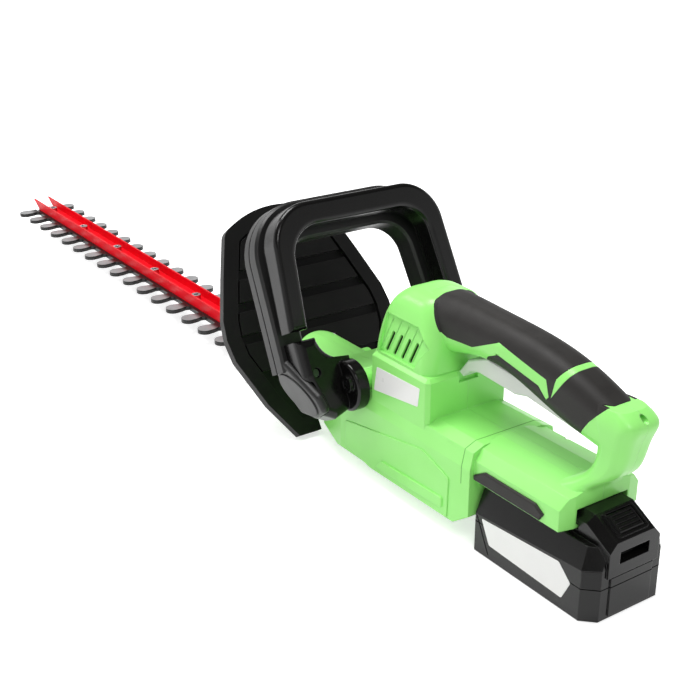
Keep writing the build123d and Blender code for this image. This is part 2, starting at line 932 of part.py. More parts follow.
with BuildPart() as bail_switch:
    with BuildSketch(loop_plane.offset(frame_rear + tongue_height - 1)):
        with Locations((0, bail_top - tongue_middle)):
            Rectangle(24 - 2 * seat_gap, tongue_width - 3 - 2 * seat_gap)
    extrude(amount=1 - tongue_height)

# Rear half of the loop, which the front hand squeezes, deeper towards its top
with BuildPart() as switch_bail:
    with BuildSketch(loop_plane.offset(bail_front)):
        add(bail_arch(0, bail_foot))
        add(
            arch(
                bail_opening_half,
                bail_opening_half - bail_opening_taper,
                bail_foot,
                bail_opening_top,
                bail_opening_corner,
            ),
            mode=Mode.SUBTRACT,
        )
    extrude(amount=bail_depth + 2 * bail_swell)
    split(bisect_by=bail_rear_plane, keep=Keep.BOTTOM)
    fillet(switch_bail.faces().sort_by(along_lean)[-1].edges(), bail_round)
    with BuildSketch(loop_plane.offset(bail_front)):
        add(bail_arch(tongue_inset - slide_gap, bail_foot))
        add(bail_arch(tongue_inset + tongue_width + slide_gap, bail_foot), mode=Mode.SUBTRACT)
    extrude(amount=groove_depth, mode=Mode.SUBTRACT)

with BuildPart() as bail_springs:
    with BuildSketch(loop_plane.offset(bail_front + groove_depth)):
        for side in (-1, 1):
            with Locations((side * spring_y, spring_rise)):
                Circle(spring_radius)
                Circle(spring_radius - 0.8, mode=Mode.SUBTRACT)
    extrude(amount=-spring_length - spring_room)

# Boot that carries the left leg of the loop on the casing: a rounded saddle with a round hub
bracket_top = frame_foot + 21
bracket_rear = frame_rear + bracket_depth
hub_x = boss_x - 8
hub_z = boss_z - 6
boot_screw_y = -frame_half + 17
boot_screw_rise = bracket_top - 28
boot_screw_sink = 5
boot_screw_length = 12
hub_side = belly_half + seat_gap
with BuildPart() as hub:
    with BuildSketch(Plane.XZ.offset(hub_side)):
        with Locations((hub_x, hub_z)):
            Circle(hub_radius)
    extrude(amount=hub_height)
    fillet(hub.faces().sort_by(Axis.Y)[0].edges(), hub_round)

with BuildPart() as bracket_form:
    with BuildSketch(loop_plane.offset(frame_rear)):
        with BuildLine():
            Polyline(
                (-frame_opening_half + 2, bracket_top),
                (-boot_half, bracket_top),
                (-boot_half, bracket_top - 30),
                (-boot_half + 8, bracket_top - 62),
                (-boot_half + 19, bracket_top - 68),
                (-hub_side, bracket_top - 60),
                (-hub_side, bracket_top - 21),
                (-hub_side - 8, bracket_top - 20),
            )
            ThreePointArc(
                (-hub_side - 8, bracket_top - 20),
                (-frame_opening_half + 7, bracket_top - 13),
                (-frame_opening_half + 2, bracket_top),
            )
        make_face()
    extrude(amount=bracket_depth)
    rear_edges = bracket_form.faces().sort_by(along_lean)[-1].edges()
    fillet(rear_edges.filter_by(lambda edge: edge.center().Y < -hub_side - 6), boot_round)
    add(hub.part)
    with Locations(Location((boss_x, -hub_side, boss_z), (90, 0, 0))):
        Cylinder(knob_radius, 15, align=(Align.CENTER, Align.CENTER, Align.MIN))
    with Locations(Location((boss_x, -hub_side - 10, boss_z), (90, 0, 0))):
        Cylinder(
            screw_head_radius + 2 * seat_gap,
            30,
            align=(Align.CENTER, Align.CENTER, Align.MIN),
            mode=Mode.SUBTRACT,
        )
    with Locations(Location((boss_x, -belly_half, boss_z), (90, 0, 0))):
        Cylinder(screw_radius + shaft_gap, 60, mode=Mode.SUBTRACT)
    # Recess of the screw in the saddle
    with BuildSketch(loop_plane.offset(bracket_rear)):
        with Locations((boot_screw_y, boot_screw_rise)):
            Circle(screw_head_radius + 2 * seat_gap)
    extrude(amount=-boot_screw_sink, mode=Mode.SUBTRACT)
    with BuildSketch(loop_plane.offset(bracket_rear - boot_screw_sink)):
        with Locations((boot_screw_y, boot_screw_rise)):
            Circle(screw_radius + shaft_gap)
    extrude(amount=-boot_screw_length, mode=Mode.SUBTRACT)
    # Seat of the leaf-shaped foot
    with BuildSketch(foot_plane.offset(-foot_thickness - seat_gap)):
        add(foot_outline.sketch)
        offset(foot_outline.sketch, amount=seat_gap)
    extrude(amount=4 * foot_thickness, mode=Mode.SUBTRACT)

with BuildPart() as handle_bracket_left:
    add(bracket_form.part)

with BuildPart() as handle_bracket_right:
    add(bracket_form.part.mirror(Plane.XZ))

with BuildPart() as bracket_screws:
    for side in (-1, 1):
        with Locations(Location((boss_x, side * (hub_side + 10), boss_z), (side * -90, 0, 0))):
            Cylinder(screw_head_radius, 3, align=(Align.CENTER, Align.CENTER, Align.MIN))
            Cylinder(screw_radius, 21, align=(Align.CENTER, Align.CENTER, Align.MAX))
        with BuildSketch(loop_plane.offset(bracket_rear - boot_screw_sink)):
            with Locations((side * boot_screw_y, boot_screw_rise)):
                Circle(screw_head_radius)
        extrude(amount=2.5)
        with BuildSketch(loop_plane.offset(bracket_rear - boot_screw_sink)):
            with Locations((side * boot_screw_y, boot_screw_rise)):
                Circle(screw_radius)
        extrude(amount=-boot_screw_length)

# Outline of the hand guard, which stands on its lower edge, and the raised panels inside its rim
guard_foot_rise = guard_thickness * math.tan(math.radians(guard_lean))
with BuildSketch() as shield:
    with BuildLine():
        Polyline(
            (-57, 195),
            (-72, 156),
            (-85.5, 118),
            (-88, 100),
            (-86, 80),
            (-69, 36),
            (-49, guard_foot_rise),
            (49, guard_foot_rise),
            (69, 36),
            (86, 80),
            (88, 100),
            (85.5, 118),
            (72, 156),
            (57, 195),
        )
        ThreePointArc((57, 195), (0, 213), (-57, 195))
    make_face()
    fillet(shield.vertices().group_by(Axis.Y)[-1], 14)

with BuildSketch() as shield_panels:
    offset(shield.sketch, amount=-guard_rim_width - guard_panel_gap)
    with Locations((0, guard_panel_foot)):
        Rectangle(400, 400, align=(Align.CENTER, Align.MIN), mode=Mode.INTERSECT)
    for i in range(3):
        with Locations((0, guard_groove_rise + guard_groove_pitch * i)):
            Rectangle(400, guard_groove_width, mode=Mode.SUBTRACT)

# Hand guard across the nose
with BuildPart() as guard:
    with BuildSketch(guard_plane.offset(-guard_thickness)):
        add(shield.sketch)
    extrude(amount=guard_thickness)
    with BuildSketch(guard_plane):
        add(shield.sketch)
        offset(shield.sketch, amount=-guard_rim_width, mode=Mode.SUBTRACT)
    extrude(amount=guard_rim_depth)
    with BuildSketch(guard_plane):
        add(shield_panels.sketch)
    extrude(amount=guard_panel_depth)
    with BuildSketch(Plane.YZ.offset(nose_front - nose_length)):
        with BuildLine():
            Polyline(
                (-nose_half - seat_gap, nose_top - 22),
                (-nose_half - seat_gap, nose_bottom - seat_gap),
                (-26, nose_bottom - seat_gap),
                (-26, -10),
                (26, -10),
                (26, nose_bottom - seat_gap),
                (nose_half + seat_gap, nose_bottom - seat_gap),
                (nose_half + seat_gap, nose_top - 22),
            )
            ThreePointArc(
                (nose_half + seat_gap, nose_top - 22),
                (0, nose_top + seat_gap),
                (-nose_half - seat_gap, nose_top - 22),
            )
        make_face()
    extrude(amount=3 * nose_length, mode=Mode.SUBTRACT)
    # Screw holes beside the nose
    for side in (-1, 1):
        with BuildSketch(guard_plane):
            with Locations((side * (nose_half + 9), guard_screw_rise)):
                Circle(screw_radius + shaft_gap)
        extrude(amount=2 * guard_thickness, both=True, mode=Mode.SUBTRACT)

with BuildPart() as guard_screws:
    with BuildSketch(guard_plane.offset(-guard_thickness)):
        for side in (-1, 1):
            with Locations((side * (nose_half + 9), guard_screw_rise)):
                Circle(screw_head_radius)
    extrude(amount=-2.5)
    with BuildSketch(guard_plane.offset(-guard_thickness)):
        for side in (-1, 1):
            with Locations((side * (nose_half + 9), guard_screw_rise)):
                Circle(screw_radius)
    extrude(amount=guard_thickness + 9)


# One paddle-shaped tooth, pointing along +Y
with BuildSketch() as tooth_outline:
    with BuildLine():
        Polyline(
            (paddle_half_width, paddle_y + 2),
            (paddle_half_width - 0.6, paddle_y - 4),
            (neck_width / 2, spine_half + 3),
            (neck_width / 2 + 2, spine_half - 1),
            (-neck_width / 2 - 2, spine_half - 1),
            (-neck_width / 2, spine_half + 3),
            (0.6 - paddle_half_width, paddle_y - 4),
            (-paddle_half_width, paddle_y + 2),
        )
        ThreePointArc(
            (-paddle_half_width, paddle_y + 2),
            (0, tooth_reach),
            (paddle_half_width, paddle_y + 2),
        )
    make_face()


def blade(level):
    """Toothed bar with slots for the bolts and a yoke round its eccentric."""
    with BuildPart() as bar:
        with BuildSketch(Plane.XY.offset(level)):
            with BuildLine():
                Polyline(
                    (tip_tooth_x - 4, -spine_half + 5),
                    (tip_tooth_x + 1, -spine_half),
                    (yoke_front - 14, -spine_half),
                    (yoke_front, -yoke_half),
                    (yoke_rear, -yoke_half),
                    (yoke_rear, yoke_half),
                    (yoke_front, yoke_half),
                    (yoke_front - 14, spine_half),
                    (tip_tooth_x + 1, spine_half),
                    (tip_tooth_x - 4, spine_half - 5),
                    close=True,
                )
            make_face()
            for i in range(tooth_count):
                tooth_x = tip_tooth_x + tooth_pitch * i
                with Locations(Location((tooth_x, 0, 0)), Location((tooth_x, 0, 0), (0, 0, 180))):
                    add(tooth_outline.sketch)
            with Locations(*[(x, 0) for x in bolt_x]):
                SlotOverall(stroke + slot_width, slot_width, mode=Mode.SUBTRACT)
            with Locations((gear_x, 0)):
                Rectangle(2 * window_half_length, 2 * window_half_width, mode=Mode.SUBTRACT)
        extrude(amount=blade_thickness)
    return bar.part


with BuildPart() as upper_blade:
    add(blade(upper_level))

with BuildPart() as lower_blade:
    add(blade(blade_level))

# Red channel that stiffens the blades
with BuildPart() as blade_channel:
    with BuildSketch(Plane.YZ.offset(channel_front)):
        with Locations((0, channel_level)):
            Rectangle(channel_width, channel_height, align=(Align.CENTER, Align.MIN))
        with Locations((0, channel_level + channel_floor)):
            Rectangle(
                channel_width - 2 * channel_wall,
                channel_height,
                align=(Align.CENTER, Align.MIN),
                mode=Mode.SUBTRACT,
            )
    extrude(amount=channel_rear - channel_front)
    with BuildSketch(Plane.XZ):
        with BuildLine():
            Polyline(
                (channel_front - 1, channel_level - 1),
                (channel_front + channel_slant, channel_level - 1),
                (channel_front + channel_slant, channel_level + channel_floor),
                (channel_front, channel_level + channel_height),
                (channel_front - 1, channel_level + channel_height),
                close=True,
            )
        make_face()
    extrude(amount=channel_width, both=True, mode=Mode.SUBTRACT)
    with BuildSketch(Plane.XY.offset(channel_level)):
        with Locations(*[(x, 0) for x in bolt_x]):
            Circle(bolt_radius + shaft_gap)
    extrude(amount=2 * channel_floor, mode=Mode.SUBTRACT)

with BuildPart() as channel_bolts:
    with BuildSketch(Plane.XY.offset(channel_level + channel_floor)):
        with Locations(*[(x, 0) for x in bolt_x]):
            Circle(bolt_head_radius)
    extrude(amount=bolt_head_height)
    with BuildSketch(Plane.XY.offset(channel_level + channel_floor + bolt_head_height)):
        with Locations(*[(x, 0) for x in bolt_x]):
            RegularPolygon(2.8, 6)
    extrude(amount=-3, mode=Mode.SUBTRACT)
    with BuildSketch(Plane.XY.offset(channel_level + channel_floor)):
        with Locations(*[(x, 0) for x in bolt_x]):
            Circle(bolt_radius)
    extrude(amount=nut_bottom - channel_level - channel_floor)

with BuildPart() as channel_nuts:
    with BuildSketch(Plane.XY.offset(nut_bottom)):
        with Locations(*[(x, 0) for x in bolt_x]):
            RegularPolygon(nut_radius, 6)
            Circle(bolt_radius + shaft_gap, mode=Mode.SUBTRACT)
    extrude(amount=nut_height)

# Gearbox: base under the blades, open case over them and a cover that carries the motor
case_middle = (case_front + case_rear) / 2
with BuildPart() as gear_base:
    with BuildSketch(Plane.XY.offset(base_bottom)):
        with Locations((case_middle, 0)):
            Rectangle(case_rear - case_front, 2 * case_half)
    extrude(amount=base_thickness)
    with BuildSketch(Plane.XY.offset(base_top)):
        for side in (-1, 1):
            with Locations((case_middle, side * (case_half + yoke_half + slide_gap) / 2)):
                Rectangle(case_rear - case_front, case_half - yoke_half - slide_gap)
    extrude(amount=case_bottom - base_top)
    with Locations((gear_x, 0, base_top)):
        Cylinder(bearing_radius, 2 * bearing_width, mode=Mode.SUBTRACT)

with BuildPart() as gear_case:
    with BuildSketch(Plane.XY.offset(case_bottom)):
        with Locations((case_middle, 0)):
            Rectangle(case_rear - case_front, 2 * case_half)
    extrude(amount=case_height)
    with BuildSketch(Plane.XY.offset(case_bottom + case_wall_thickness)):
        with Locations((case_middle, 0)):
            RectangleRounded(
                case_rear - case_front - 2 * case_wall_thickness,
                2 * case_half - 2 * case_wall_thickness,
                4,
            )
    extrude(amount=case_height, mode=Mode.SUBTRACT)
    with Locations((gear_x, 0, case_bottom)):
        Cylinder(crank_radius + 1, 4 * case_wall_thickness, mode=Mode.SUBTRACT)

with BuildPart() as gear_cover:
    with BuildSketch(Plane.XY.offset(case_top)):
        with Locations((case_middle, 0)):
            Rectangle(case_rear - case_front, 2 * case_half)
        with Locations((gear_x, 0)):
            Circle(bearing_radius, mode=Mode.SUBTRACT)
        with Locations((motor_x, 0)):
            Circle(pinion_radius + 1.5, mode=Mode.SUBTRACT)
        with Locations((motor_x, motor_screw_reach), (motor_x, -motor_screw_reach)):
            Circle(screw_radius + shaft_gap, mode=Mode.SUBTRACT)
    extrude(amount=cover_thickness)

with BuildPart() as crank_bearings:
    with BuildSketch(Plane.XY.offset(base_top - bearing_width)):
        with Locations((gear_x, 0)):
            Circle(bearing_radius)
            Circle(crank_radius + shaft_gap, mode=Mode.SUBTRACT)
    extrude(amount=bearing_width)
    with BuildSketch(Plane.XY.offset(case_top)):
        with Locations((gear_x, 0)):
            Circle(bearing_radius)
            Circle(crank_radius + shaft_gap, mode=Mode.SUBTRACT)
    extrude(amount=bearing_width)

with BuildPart() as crank_shaft:
    with Locations((gear_x, 0, base_top - bearing_width)):
        Cylinder(
            crank_radius,
            case_top + bearing_width - base_top + bearing_width,
            align=(Align.CENTER, Align.CENTER, Align.MIN),
        )
    with Locations((gear_x, crank_offset, upper_level)):
        Cylinder(cam_radius, blade_thickness, align=(Align.CENTER, Align.CENTER, Align.MIN))
    with Locations((gear_x, -crank_offset, blade_level)):
        Cylinder(cam_radius, blade_thickness, align=(Align.CENTER, Align.CENTER, Align.MIN))

with BuildPart() as crank_gear:
    with Locations((gear_x, 0, gear_level)):
        add(toothed_wheel(gear_teeth, gear_width, crank_radius + shaft_gap / 2, 0))

# Motor with its pinion and fan
with BuildPart() as motor_can:
    with BuildSketch(Plane.XY.offset(cover_top)):
        with Locations((motor_x, 0)):
            Circle(motor_radius)
    extrude(amount=motor_length)
    with BuildSketch(Plane.XY.offset(cover_top + 2 * motor_wall)):
        with Locations((motor_x, 0)):
            Circle(motor_radius - motor_wall)
    extrude(amount=motor_length, mode=Mode.SUBTRACT)
    with Locations((motor_x, 0, cover_top)):
        Cylinder(motor_shaft_radius + shaft_gap, 6 * motor_wall, mode=Mode.SUBTRACT)
    with Locations((motor_x, motor_screw_reach, cover_top), (motor_x, -motor_screw_reach, cover_top)):
        Cylinder(screw_radius + shaft_gap, 6 * motor_wall, mode=Mode.SUBTRACT)

with BuildPart() as motor_cap:
    with BuildSketch(Plane.XY.offset(motor_top)):
        with Locations((motor_x, 0)):
            Circle(motor_radius - motor_wall)
            Circle(motor_shaft_radius + shaft_gap, mode=Mode.SUBTRACT)
    extrude(amount=-2 * motor_wall)

with BuildPart() as motor_screws:
    for side in (-1, 1):
        with Locations((motor_x, side * motor_screw_reach, case_top)):
            Cylinder(screw_head_radius, 2.5, align=(Align.CENTER, Align.CENTER, Align.MAX))
            Cylinder(
                screw_radius,
                cover_thickness + 2 * motor_wall,
                align=(Align.CENTER, Align.CENTER, Align.MIN),
            )

with BuildPart() as motor_shaft:
    with Locations((motor_x, 0, gear_level)):
        Cylinder(motor_shaft_radius, fan_top - gear_level, align=(Align.CENTER, Align.CENTER, Align.MIN))
    with Locations((motor_x, 0, (cover_top + motor_top) / 2)):
        Cylinder(motor_radius - motor_wall - rotor_gap, motor_length - 10 * motor_wall)

with BuildPart() as motor_pinion:
    with Locations((motor_x, 0, gear_level)):
        add(toothed_wheel(pinion_teeth, gear_width, motor_shaft_radius + shaft_gap / 2, 180 / pinion_teeth))

with BuildPart() as cooling_fan:
    with BuildSketch(Plane.XY.offset(fan_bottom)):
        with Locations((motor_x, 0)):
            Circle(fan_radius)
            Circle(motor_shaft_radius + shaft_gap / 2, mode=Mode.SUBTRACT)
    extrude(amount=1.5)
    with BuildSketch(Plane.XY.offset(fan_bottom)):
        with Locations((motor_x, 0)):
            Circle(motor_shaft_radius + 4)
            with PolarLocations(fan_radius / 2 + 2, fan_blades):
                Rectangle(fan_radius - 4, 1.4, rotation=20)
            Circle(motor_shaft_radius + shaft_gap / 2, mode=Mode.SUBTRACT)
    extrude(amount=fan_height)

with BuildPart() as controller_board:
    with Locations((board_x, 0, board_level)):
        Box(board_length, 2 * board_half, board_thickness, align=(Align.CENTER, Align.CENTER, Align.MIN))
    with Locations((board_x, -12, board_level + board_thickness)):
        Box(24, 20, 14, align=(Align.CENTER, Align.CENTER, Align.MIN))
    with Locations((board_x, 14, board_level + board_thickness)):
        Cylinder(7, 20, align=(Align.CENTER, Align.CENTER, Align.MIN))

# Terminals at the front of the battery bay
contact_y = [contact_spacing * (i - 1.5) for i in range(4)]
with BuildPart() as terminal_block:
    with Locations((belly_rear, 0, (deck_bottom + rail_top) / 2)):
        Box(
            rail_front - belly_rear - slide_gap,
            rail_width - 8,
            rail_top - deck_bottom,
            align=(Align.MIN, Align.CENTER, Align.CENTER),
        )
    with Locations(*[(rail_front - slide_gap, y, (deck_bottom + rail_top) / 2) for y in contact_y]):
        Box(8, tab_thickness, contact_height - 2, mode=Mode.SUBTRACT)

with BuildPart() as terminal_tabs:
    with Locations(*[(rail_front - slide_gap - 4, y, (deck_bottom + rail_top) / 2) for y in contact_y]):
        Box(tab_reach + 4, tab_thickness, contact_height - 2, align=(Align.MIN, Align.CENTER, Align.CENTER))

# Battery pack
with BuildSketch() as footprint:
    Rectangle(pack_length, pack_width)
    chamfer(footprint.vertices().group_by(Axis.X)[0], pack_front_corner)
    chamfer(footprint.vertices().group_by(Axis.X)[-1], pack_corner)

# Slanted groove in front of the label's place, on both sides of the pack
with BuildPart() as side_grooves:
    with BuildSketch(Plane.XZ.offset(pack_half - side_groove_depth)):
        with BuildLine():
            Polyline(
                (pack_front + 3, upright_top - 5),
                (pack_front + 3 + side_groove_width, upright_top - 5),
                (pack_front + 17 + side_groove_width, 4),
                (pack_front + 17, 4),
                close=True,
            )
        make_face()
    extrude(amount=2 * side_groove_depth)
    mirror(about=Plane.XZ)

with BuildPart() as battery_lower_case:
    with BuildSketch():
        add(footprint.sketch)
    extrude(amount=lower_case_height)
    chamfer(battery_lower_case.faces().sort_by(Axis.Z)[0].edges(), pack_foot)
    with BuildSketch(Plane.YZ.offset(pack_rear)):
        with Locations((0, 3)):
            Rectangle(2 * panel_half, lower_case_height - 3, align=(Align.CENTER, Align.MIN))
    extrude(amount=panel_proud)
    with BuildSketch(Plane.XY.offset(case_wall)):
        offset(footprint.sketch, amount=-case_wall)
    extrude(amount=lower_case_height, mode=Mode.SUBTRACT)
    add(side_grooves.part, mode=Mode.SUBTRACT)

latch_angle = math.atan2(latch_slope_drop, latch_slope_run)
latch_normal = (math.sin(latch_angle), 0, math.cos(latch_angle))
latch_plane = Plane(
    origin=(pack_rear - latch_slope_run / 2, 0, rail_top - latch_slope_drop / 2),
    x_dir=(0, 1, 0),
    z_dir=latch_normal,
)
upright_tilt = math.radians(upright_slope)
upright_plane = Plane(
    origin=(0, 0, upright_top),
    x_dir=(math.cos(upright_tilt), 0, math.sin(upright_tilt)),
    z_dir=(-math.sin(upright_tilt), 0, math.cos(upright_tilt)),
)
groove_end = belly_rear + deck_length + 5
with BuildPart() as battery_upper_case:
    # Upright walls that rise towards the rear, and facets that draw in above them
    with BuildSketch(Plane.XY.offset(lower_case_height)):
        add(footprint.sketch)
    with BuildSketch(upright_plane):
        add(footprint.sketch)
    with BuildSketch(Plane.XY.offset(shoulder_top)) as shoulder:
        with Locations((-shoulder_rear_inset / 2, 0)):
            Rectangle(pack_length - shoulder_rear_inset, pack_width - 2 * shoulder_inset)
        chamfer(shoulder.vertices().group_by(Axis.X)[0], pack_front_corner)
        chamfer(shoulder.vertices().group_by(Axis.X)[-1], pack_corner)
    loft(ruled=True)
    # Rail and the hump behind it, which carries the latch
    with BuildSketch(Plane.XZ):
        with BuildLine():
            Polyline(
                (rail_front, shoulder_top - 2),
                (pack_rear - 12, shoulder_top - 2),
                (pack_rear - 12, hump_foot),
                (pack_rear + hump_proud, hump_foot),
                (pack_rear + hump_proud, rail_top - latch_slope_drop - hump_proud / 2),
                (pack_rear, rail_top - latch_slope_drop),
                (pack_rear - latch_slope_run, rail_top),
                (rail_front, rail_top),
                close=True,
            )
        make_face()
    extrude(amount=rail_half, both=True)
    hump_edges = battery_upper_case.edges().filter_by(lambda edge: abs(edge.center().Y) > rail_half - 0.1)
    crown_level = rail_top - latch_slope_drop / 2 - 1
    chamfer(hump_edges.filter_by(lambda edge: edge.center().Z > crown_level), hump_chamfer)
    # Finger recess below the latch and the raised panel under it
    with Locations((pack_rear + hump_proud, 0, shoulder_top - 2)):
        Box(
            recess_depth,
            2 * recess_half,
            recess_height,
            align=(Align.MAX, Align.CENTER, Align.MAX),
            mode=Mode.SUBTRACT,
        )
    with BuildSketch(Plane.YZ.offset(pack_rear - 1)):
        with Locations((0, lower_case_height)):
            Rectangle(2 * panel_half, panel_top - lower_case_height, align=(Align.CENTER, Align.MIN))
    extrude(amount=1 + panel_proud)
    # Rim round the latch
    with BuildSketch(latch_plane):
        RectangleRounded(latch_width + 2 * latch_rim, latch_length + 2 * latch_rim, latch_rim)
    extrude(amount=latch_rim_height)
    # Side grooves for the lips of the bay
    for side in (-1, 1):
        with Locations((groove_end, side * rail_half, deck_bottom + lip_thickness / 2)):
            Box(
                2 * pack_length,
                2 * rail_groove_depth,
                lip_thickness + 2 * slide_gap,
                align=(Align.MAX, Align.CENTER, Align.CENTER),
                mode=Mode.SUBTRACT,
            )
    add(side_grooves.part, mode=Mode.SUBTRACT)
    # Contact slots
    with Locations(*[(rail_front, y, (deck_bottom + rail_top) / 2) for y in contact_y]):
        Box(2 * (tab_reach + 4), contact_gap + 2.6, contact_height + 2, mode=Mode.SUBTRACT)
    # Latch pocket and the bore of its spring
    with BuildSketch(latch_plane.offset(latch_proud + 1)):
        Rectangle(latch_width + 2 * slide_gap, latch_length + 2 * slide_gap)
    extrude(amount=-latch_proud - 1 - latch_depth - latch_travel - slide_gap, mode=Mode.SUBTRACT)
    with BuildSketch(latch_plane):
        Circle(spring_radius + seat_gap)
    extrude(amount=-latch_depth - latch_travel - slide_gap - spring_length, mode=Mode.SUBTRACT)
    # Room for the cells and their board
    with BuildSketch(Plane.XY.offset(lower_case_height)):
        Rectangle(pack_length - 2 * case_wall, cell_length + 2 * seat_gap)
    extrude(amount=board_bottom + seat_gap / 2 - lower_case_height, mode=Mode.SUBTRACT)
    with BuildSketch(Plane.XY.offset(lower_case_height)):
        Rectangle(cell_columns * 2 * cell_radius + 2 * seat_gap, cell_length - 10 + 2 * seat_gap)
    extrude(amount=board_bottom + board_thickness + seat_gap - lower_case_height, mode=Mode.SUBTRACT)

with BuildPart() as battery_cells:
    with BuildSketch(Plane.XZ.offset(-cell_length / 2)):
        with Locations((0, case_wall + seat_gap + 2 * cell_radius + seat_gap / 2)):
            with GridLocations(2 * cell_radius + 2 * seat_gap, 2 * cell_radius + seat_gap, cell_columns, 2):
                Circle(cell_radius)
    extrude(amount=cell_length)

with BuildPart() as battery_board:
    with Locations((0, 0, board_bottom)):
        Box(
            cell_columns * 2 * cell_radius,
            cell_length - 10,
            board_thickness,
            align=(Align.CENTER, Align.CENTER, Align.MIN),
        )

with BuildPart() as battery_contacts:
    with Locations(*[(rail_front + tab_reach + 3, y, (deck_bottom + rail_top) / 2) for y in contact_y]):
        Box(contact_length, contact_gap + 2, contact_height, align=(Align.MAX, Align.CENTER, Align.CENTER))
    with Locations(*[(rail_front + tab_reach + 1, y, (deck_bottom + rail_top) / 2) for y in contact_y]):
        Box(
            contact_length,
            contact_gap,
            contact_height,
            align=(Align.MAX, Align.CENTER, Align.CENTER),
            mode=Mode.SUBTRACT,
        )

with BuildPart() as latch_button:
    with BuildSketch(latch_plane.offset(-latch_depth)):
        Rectangle(latch_width, latch_length)
    extrude(amount=latch_depth + latch_proud)
    chamfer(latch_button.faces().sort_by(Axis(latch_plane.origin, latch_normal))[-1].edges(), 1)
    with BuildSketch(latch_plane.offset(latch_proud)):
        with GridLocations(1, 3.2, 1, 4):
            Rectangle(latch_width - 5, 1.4)
    extrude(amount=-1, mode=Mode.SUBTRACT)

with BuildPart() as latch_spring:
    with BuildSketch(latch_plane.offset(-latch_depth)):
        Circle(spring_radius)
        Circle(spring_radius - 0.8, mode=Mode.SUBTRACT)
    extrude(amount=-spring_length)

pieces = {
    "housing_left": (housing_left, "left casing half"),
    "housing_right": (housing_right, "right casing half"),
    "grip_overmould": (grip_overmould, "soft grip skin"),
    "rail_pads": (rail_pads, "soft rail pads"),
    "housing_screws": (housing_screws, "casing screws"),
    "guard": (guard, "hand guard"),
    "guard_screws": (guard_screws, "guard screws"),
    "handle_frame": (handle_frame, "loop handle frame"),
    "handle_bracket_left": (handle_bracket_left, "left loop bracket"),
    "handle_bracket_right": (handle_bracket_right, "right loop bracket"),
    "bracket_screws": (bracket_screws, "bracket screws"),
    "switch_bail": (switch_bail, "loop switch bail"),
    "bail_springs": (bail_springs, "bail springs"),
    "bail_switch": (bail_switch, "bail switch"),
    "trigger_lever": (trigger_lever, "trigger"),
    "trigger_pin": (trigger_pin, "trigger pin"),
    "trigger_spring": (trigger_spring, "trigger spring"),
    "trigger_switch": (trigger_switch, "trigger switch"),
    "upper_blade": (upper_blade, "upper blade"),
    "lower_blade": (lower_blade, "lower blade"),
    "blade_channel": (blade_channel, "blade channel"),
    "channel_bolts": (channel_bolts, "channel bolts"),
    "channel_nuts": (channel_nuts, "channel nuts"),
    "gear_base": (gear_base, "gearbox base"),
    "gear_case": (gear_case, "gearbox case"),
    "gear_cover": (gear_cover, "gearbox cover"),
    "crank_bearings": (crank_bearings, "crank bearings"),
    "crank_shaft": (crank_shaft, "crank shaft"),
    "crank_gear": (crank_gear, "crank gear"),
    "motor_can": (motor_can, "motor can"),
    "motor_cap": (motor_cap, "motor end cap"),
    "motor_screws": (motor_screws, "motor screws"),
    "motor_shaft": (motor_shaft, "motor shaft and armature"),
    "motor_pinion": (motor_pinion, "motor pinion"),
    "cooling_fan": (cooling_fan, "cooling fan"),
    "controller_board": (controller_board, "controller board"),
    "terminal_block": (terminal_block, "terminal block"),
    "terminal_tabs": (terminal_tabs, "terminal tabs"),
    "battery_lower_case": (battery_lower_case, "pack lower case"),
    "battery_upper_case": (battery_upper_case, "pack upper case"),
    "battery_cells": (battery_cells, "battery cells"),
    "battery_board": (battery_board, "pack board"),
    "battery_contacts": (battery_contacts, "pack contacts"),
    "latch_button": (latch_button, "latch button"),
    "latch_spring": (latch_spring, "latch spring"),
}
for node, (piece, words) in pieces.items():
    piece.part.label = words
    export_step(piece.part, f"parts/{node}.step")
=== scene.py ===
import bmesh
import bpy
import json
import math
from mathutils import Matrix, Vector


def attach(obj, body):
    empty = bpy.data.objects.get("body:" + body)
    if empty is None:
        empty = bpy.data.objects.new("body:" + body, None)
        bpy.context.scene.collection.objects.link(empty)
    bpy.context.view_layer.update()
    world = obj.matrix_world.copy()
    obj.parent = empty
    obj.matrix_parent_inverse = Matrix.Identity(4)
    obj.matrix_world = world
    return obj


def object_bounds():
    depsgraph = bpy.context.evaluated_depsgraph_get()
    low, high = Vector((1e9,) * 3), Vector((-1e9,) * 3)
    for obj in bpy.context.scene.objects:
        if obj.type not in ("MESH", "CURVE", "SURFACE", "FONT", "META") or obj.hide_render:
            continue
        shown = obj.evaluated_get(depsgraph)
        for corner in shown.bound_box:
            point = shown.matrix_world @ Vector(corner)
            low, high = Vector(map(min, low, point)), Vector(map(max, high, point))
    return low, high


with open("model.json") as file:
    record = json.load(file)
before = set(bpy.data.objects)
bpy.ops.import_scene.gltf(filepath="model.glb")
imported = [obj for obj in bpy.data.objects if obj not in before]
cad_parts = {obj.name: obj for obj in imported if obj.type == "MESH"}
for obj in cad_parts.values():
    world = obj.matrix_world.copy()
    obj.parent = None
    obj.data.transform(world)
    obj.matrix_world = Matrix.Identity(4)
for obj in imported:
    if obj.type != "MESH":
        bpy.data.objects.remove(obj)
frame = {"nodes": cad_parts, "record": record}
cad_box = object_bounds()
nodes = frame["nodes"]
MM = 0.001

# Where the photograph was taken from, in the part's frame
CAMERA_PLACE = Vector((0.5191, -0.5510, 0.4897))
CAMERA_FORWARD = Vector((-0.7559, 0.5241, -0.3923))
CAMERA_LENS = 61.65
FILM_WIDTH = 36.0

# Even light of the white room, where 1 is white
ROOM_LEVEL = 0.54
# What gloss shows of the room: white walls that fade to a dim ceiling between two heights
WALL_LEVEL = 1.0
CEILING_LEVEL = 0.1
WALL_END = 0.28
CEILING_START = 0.55

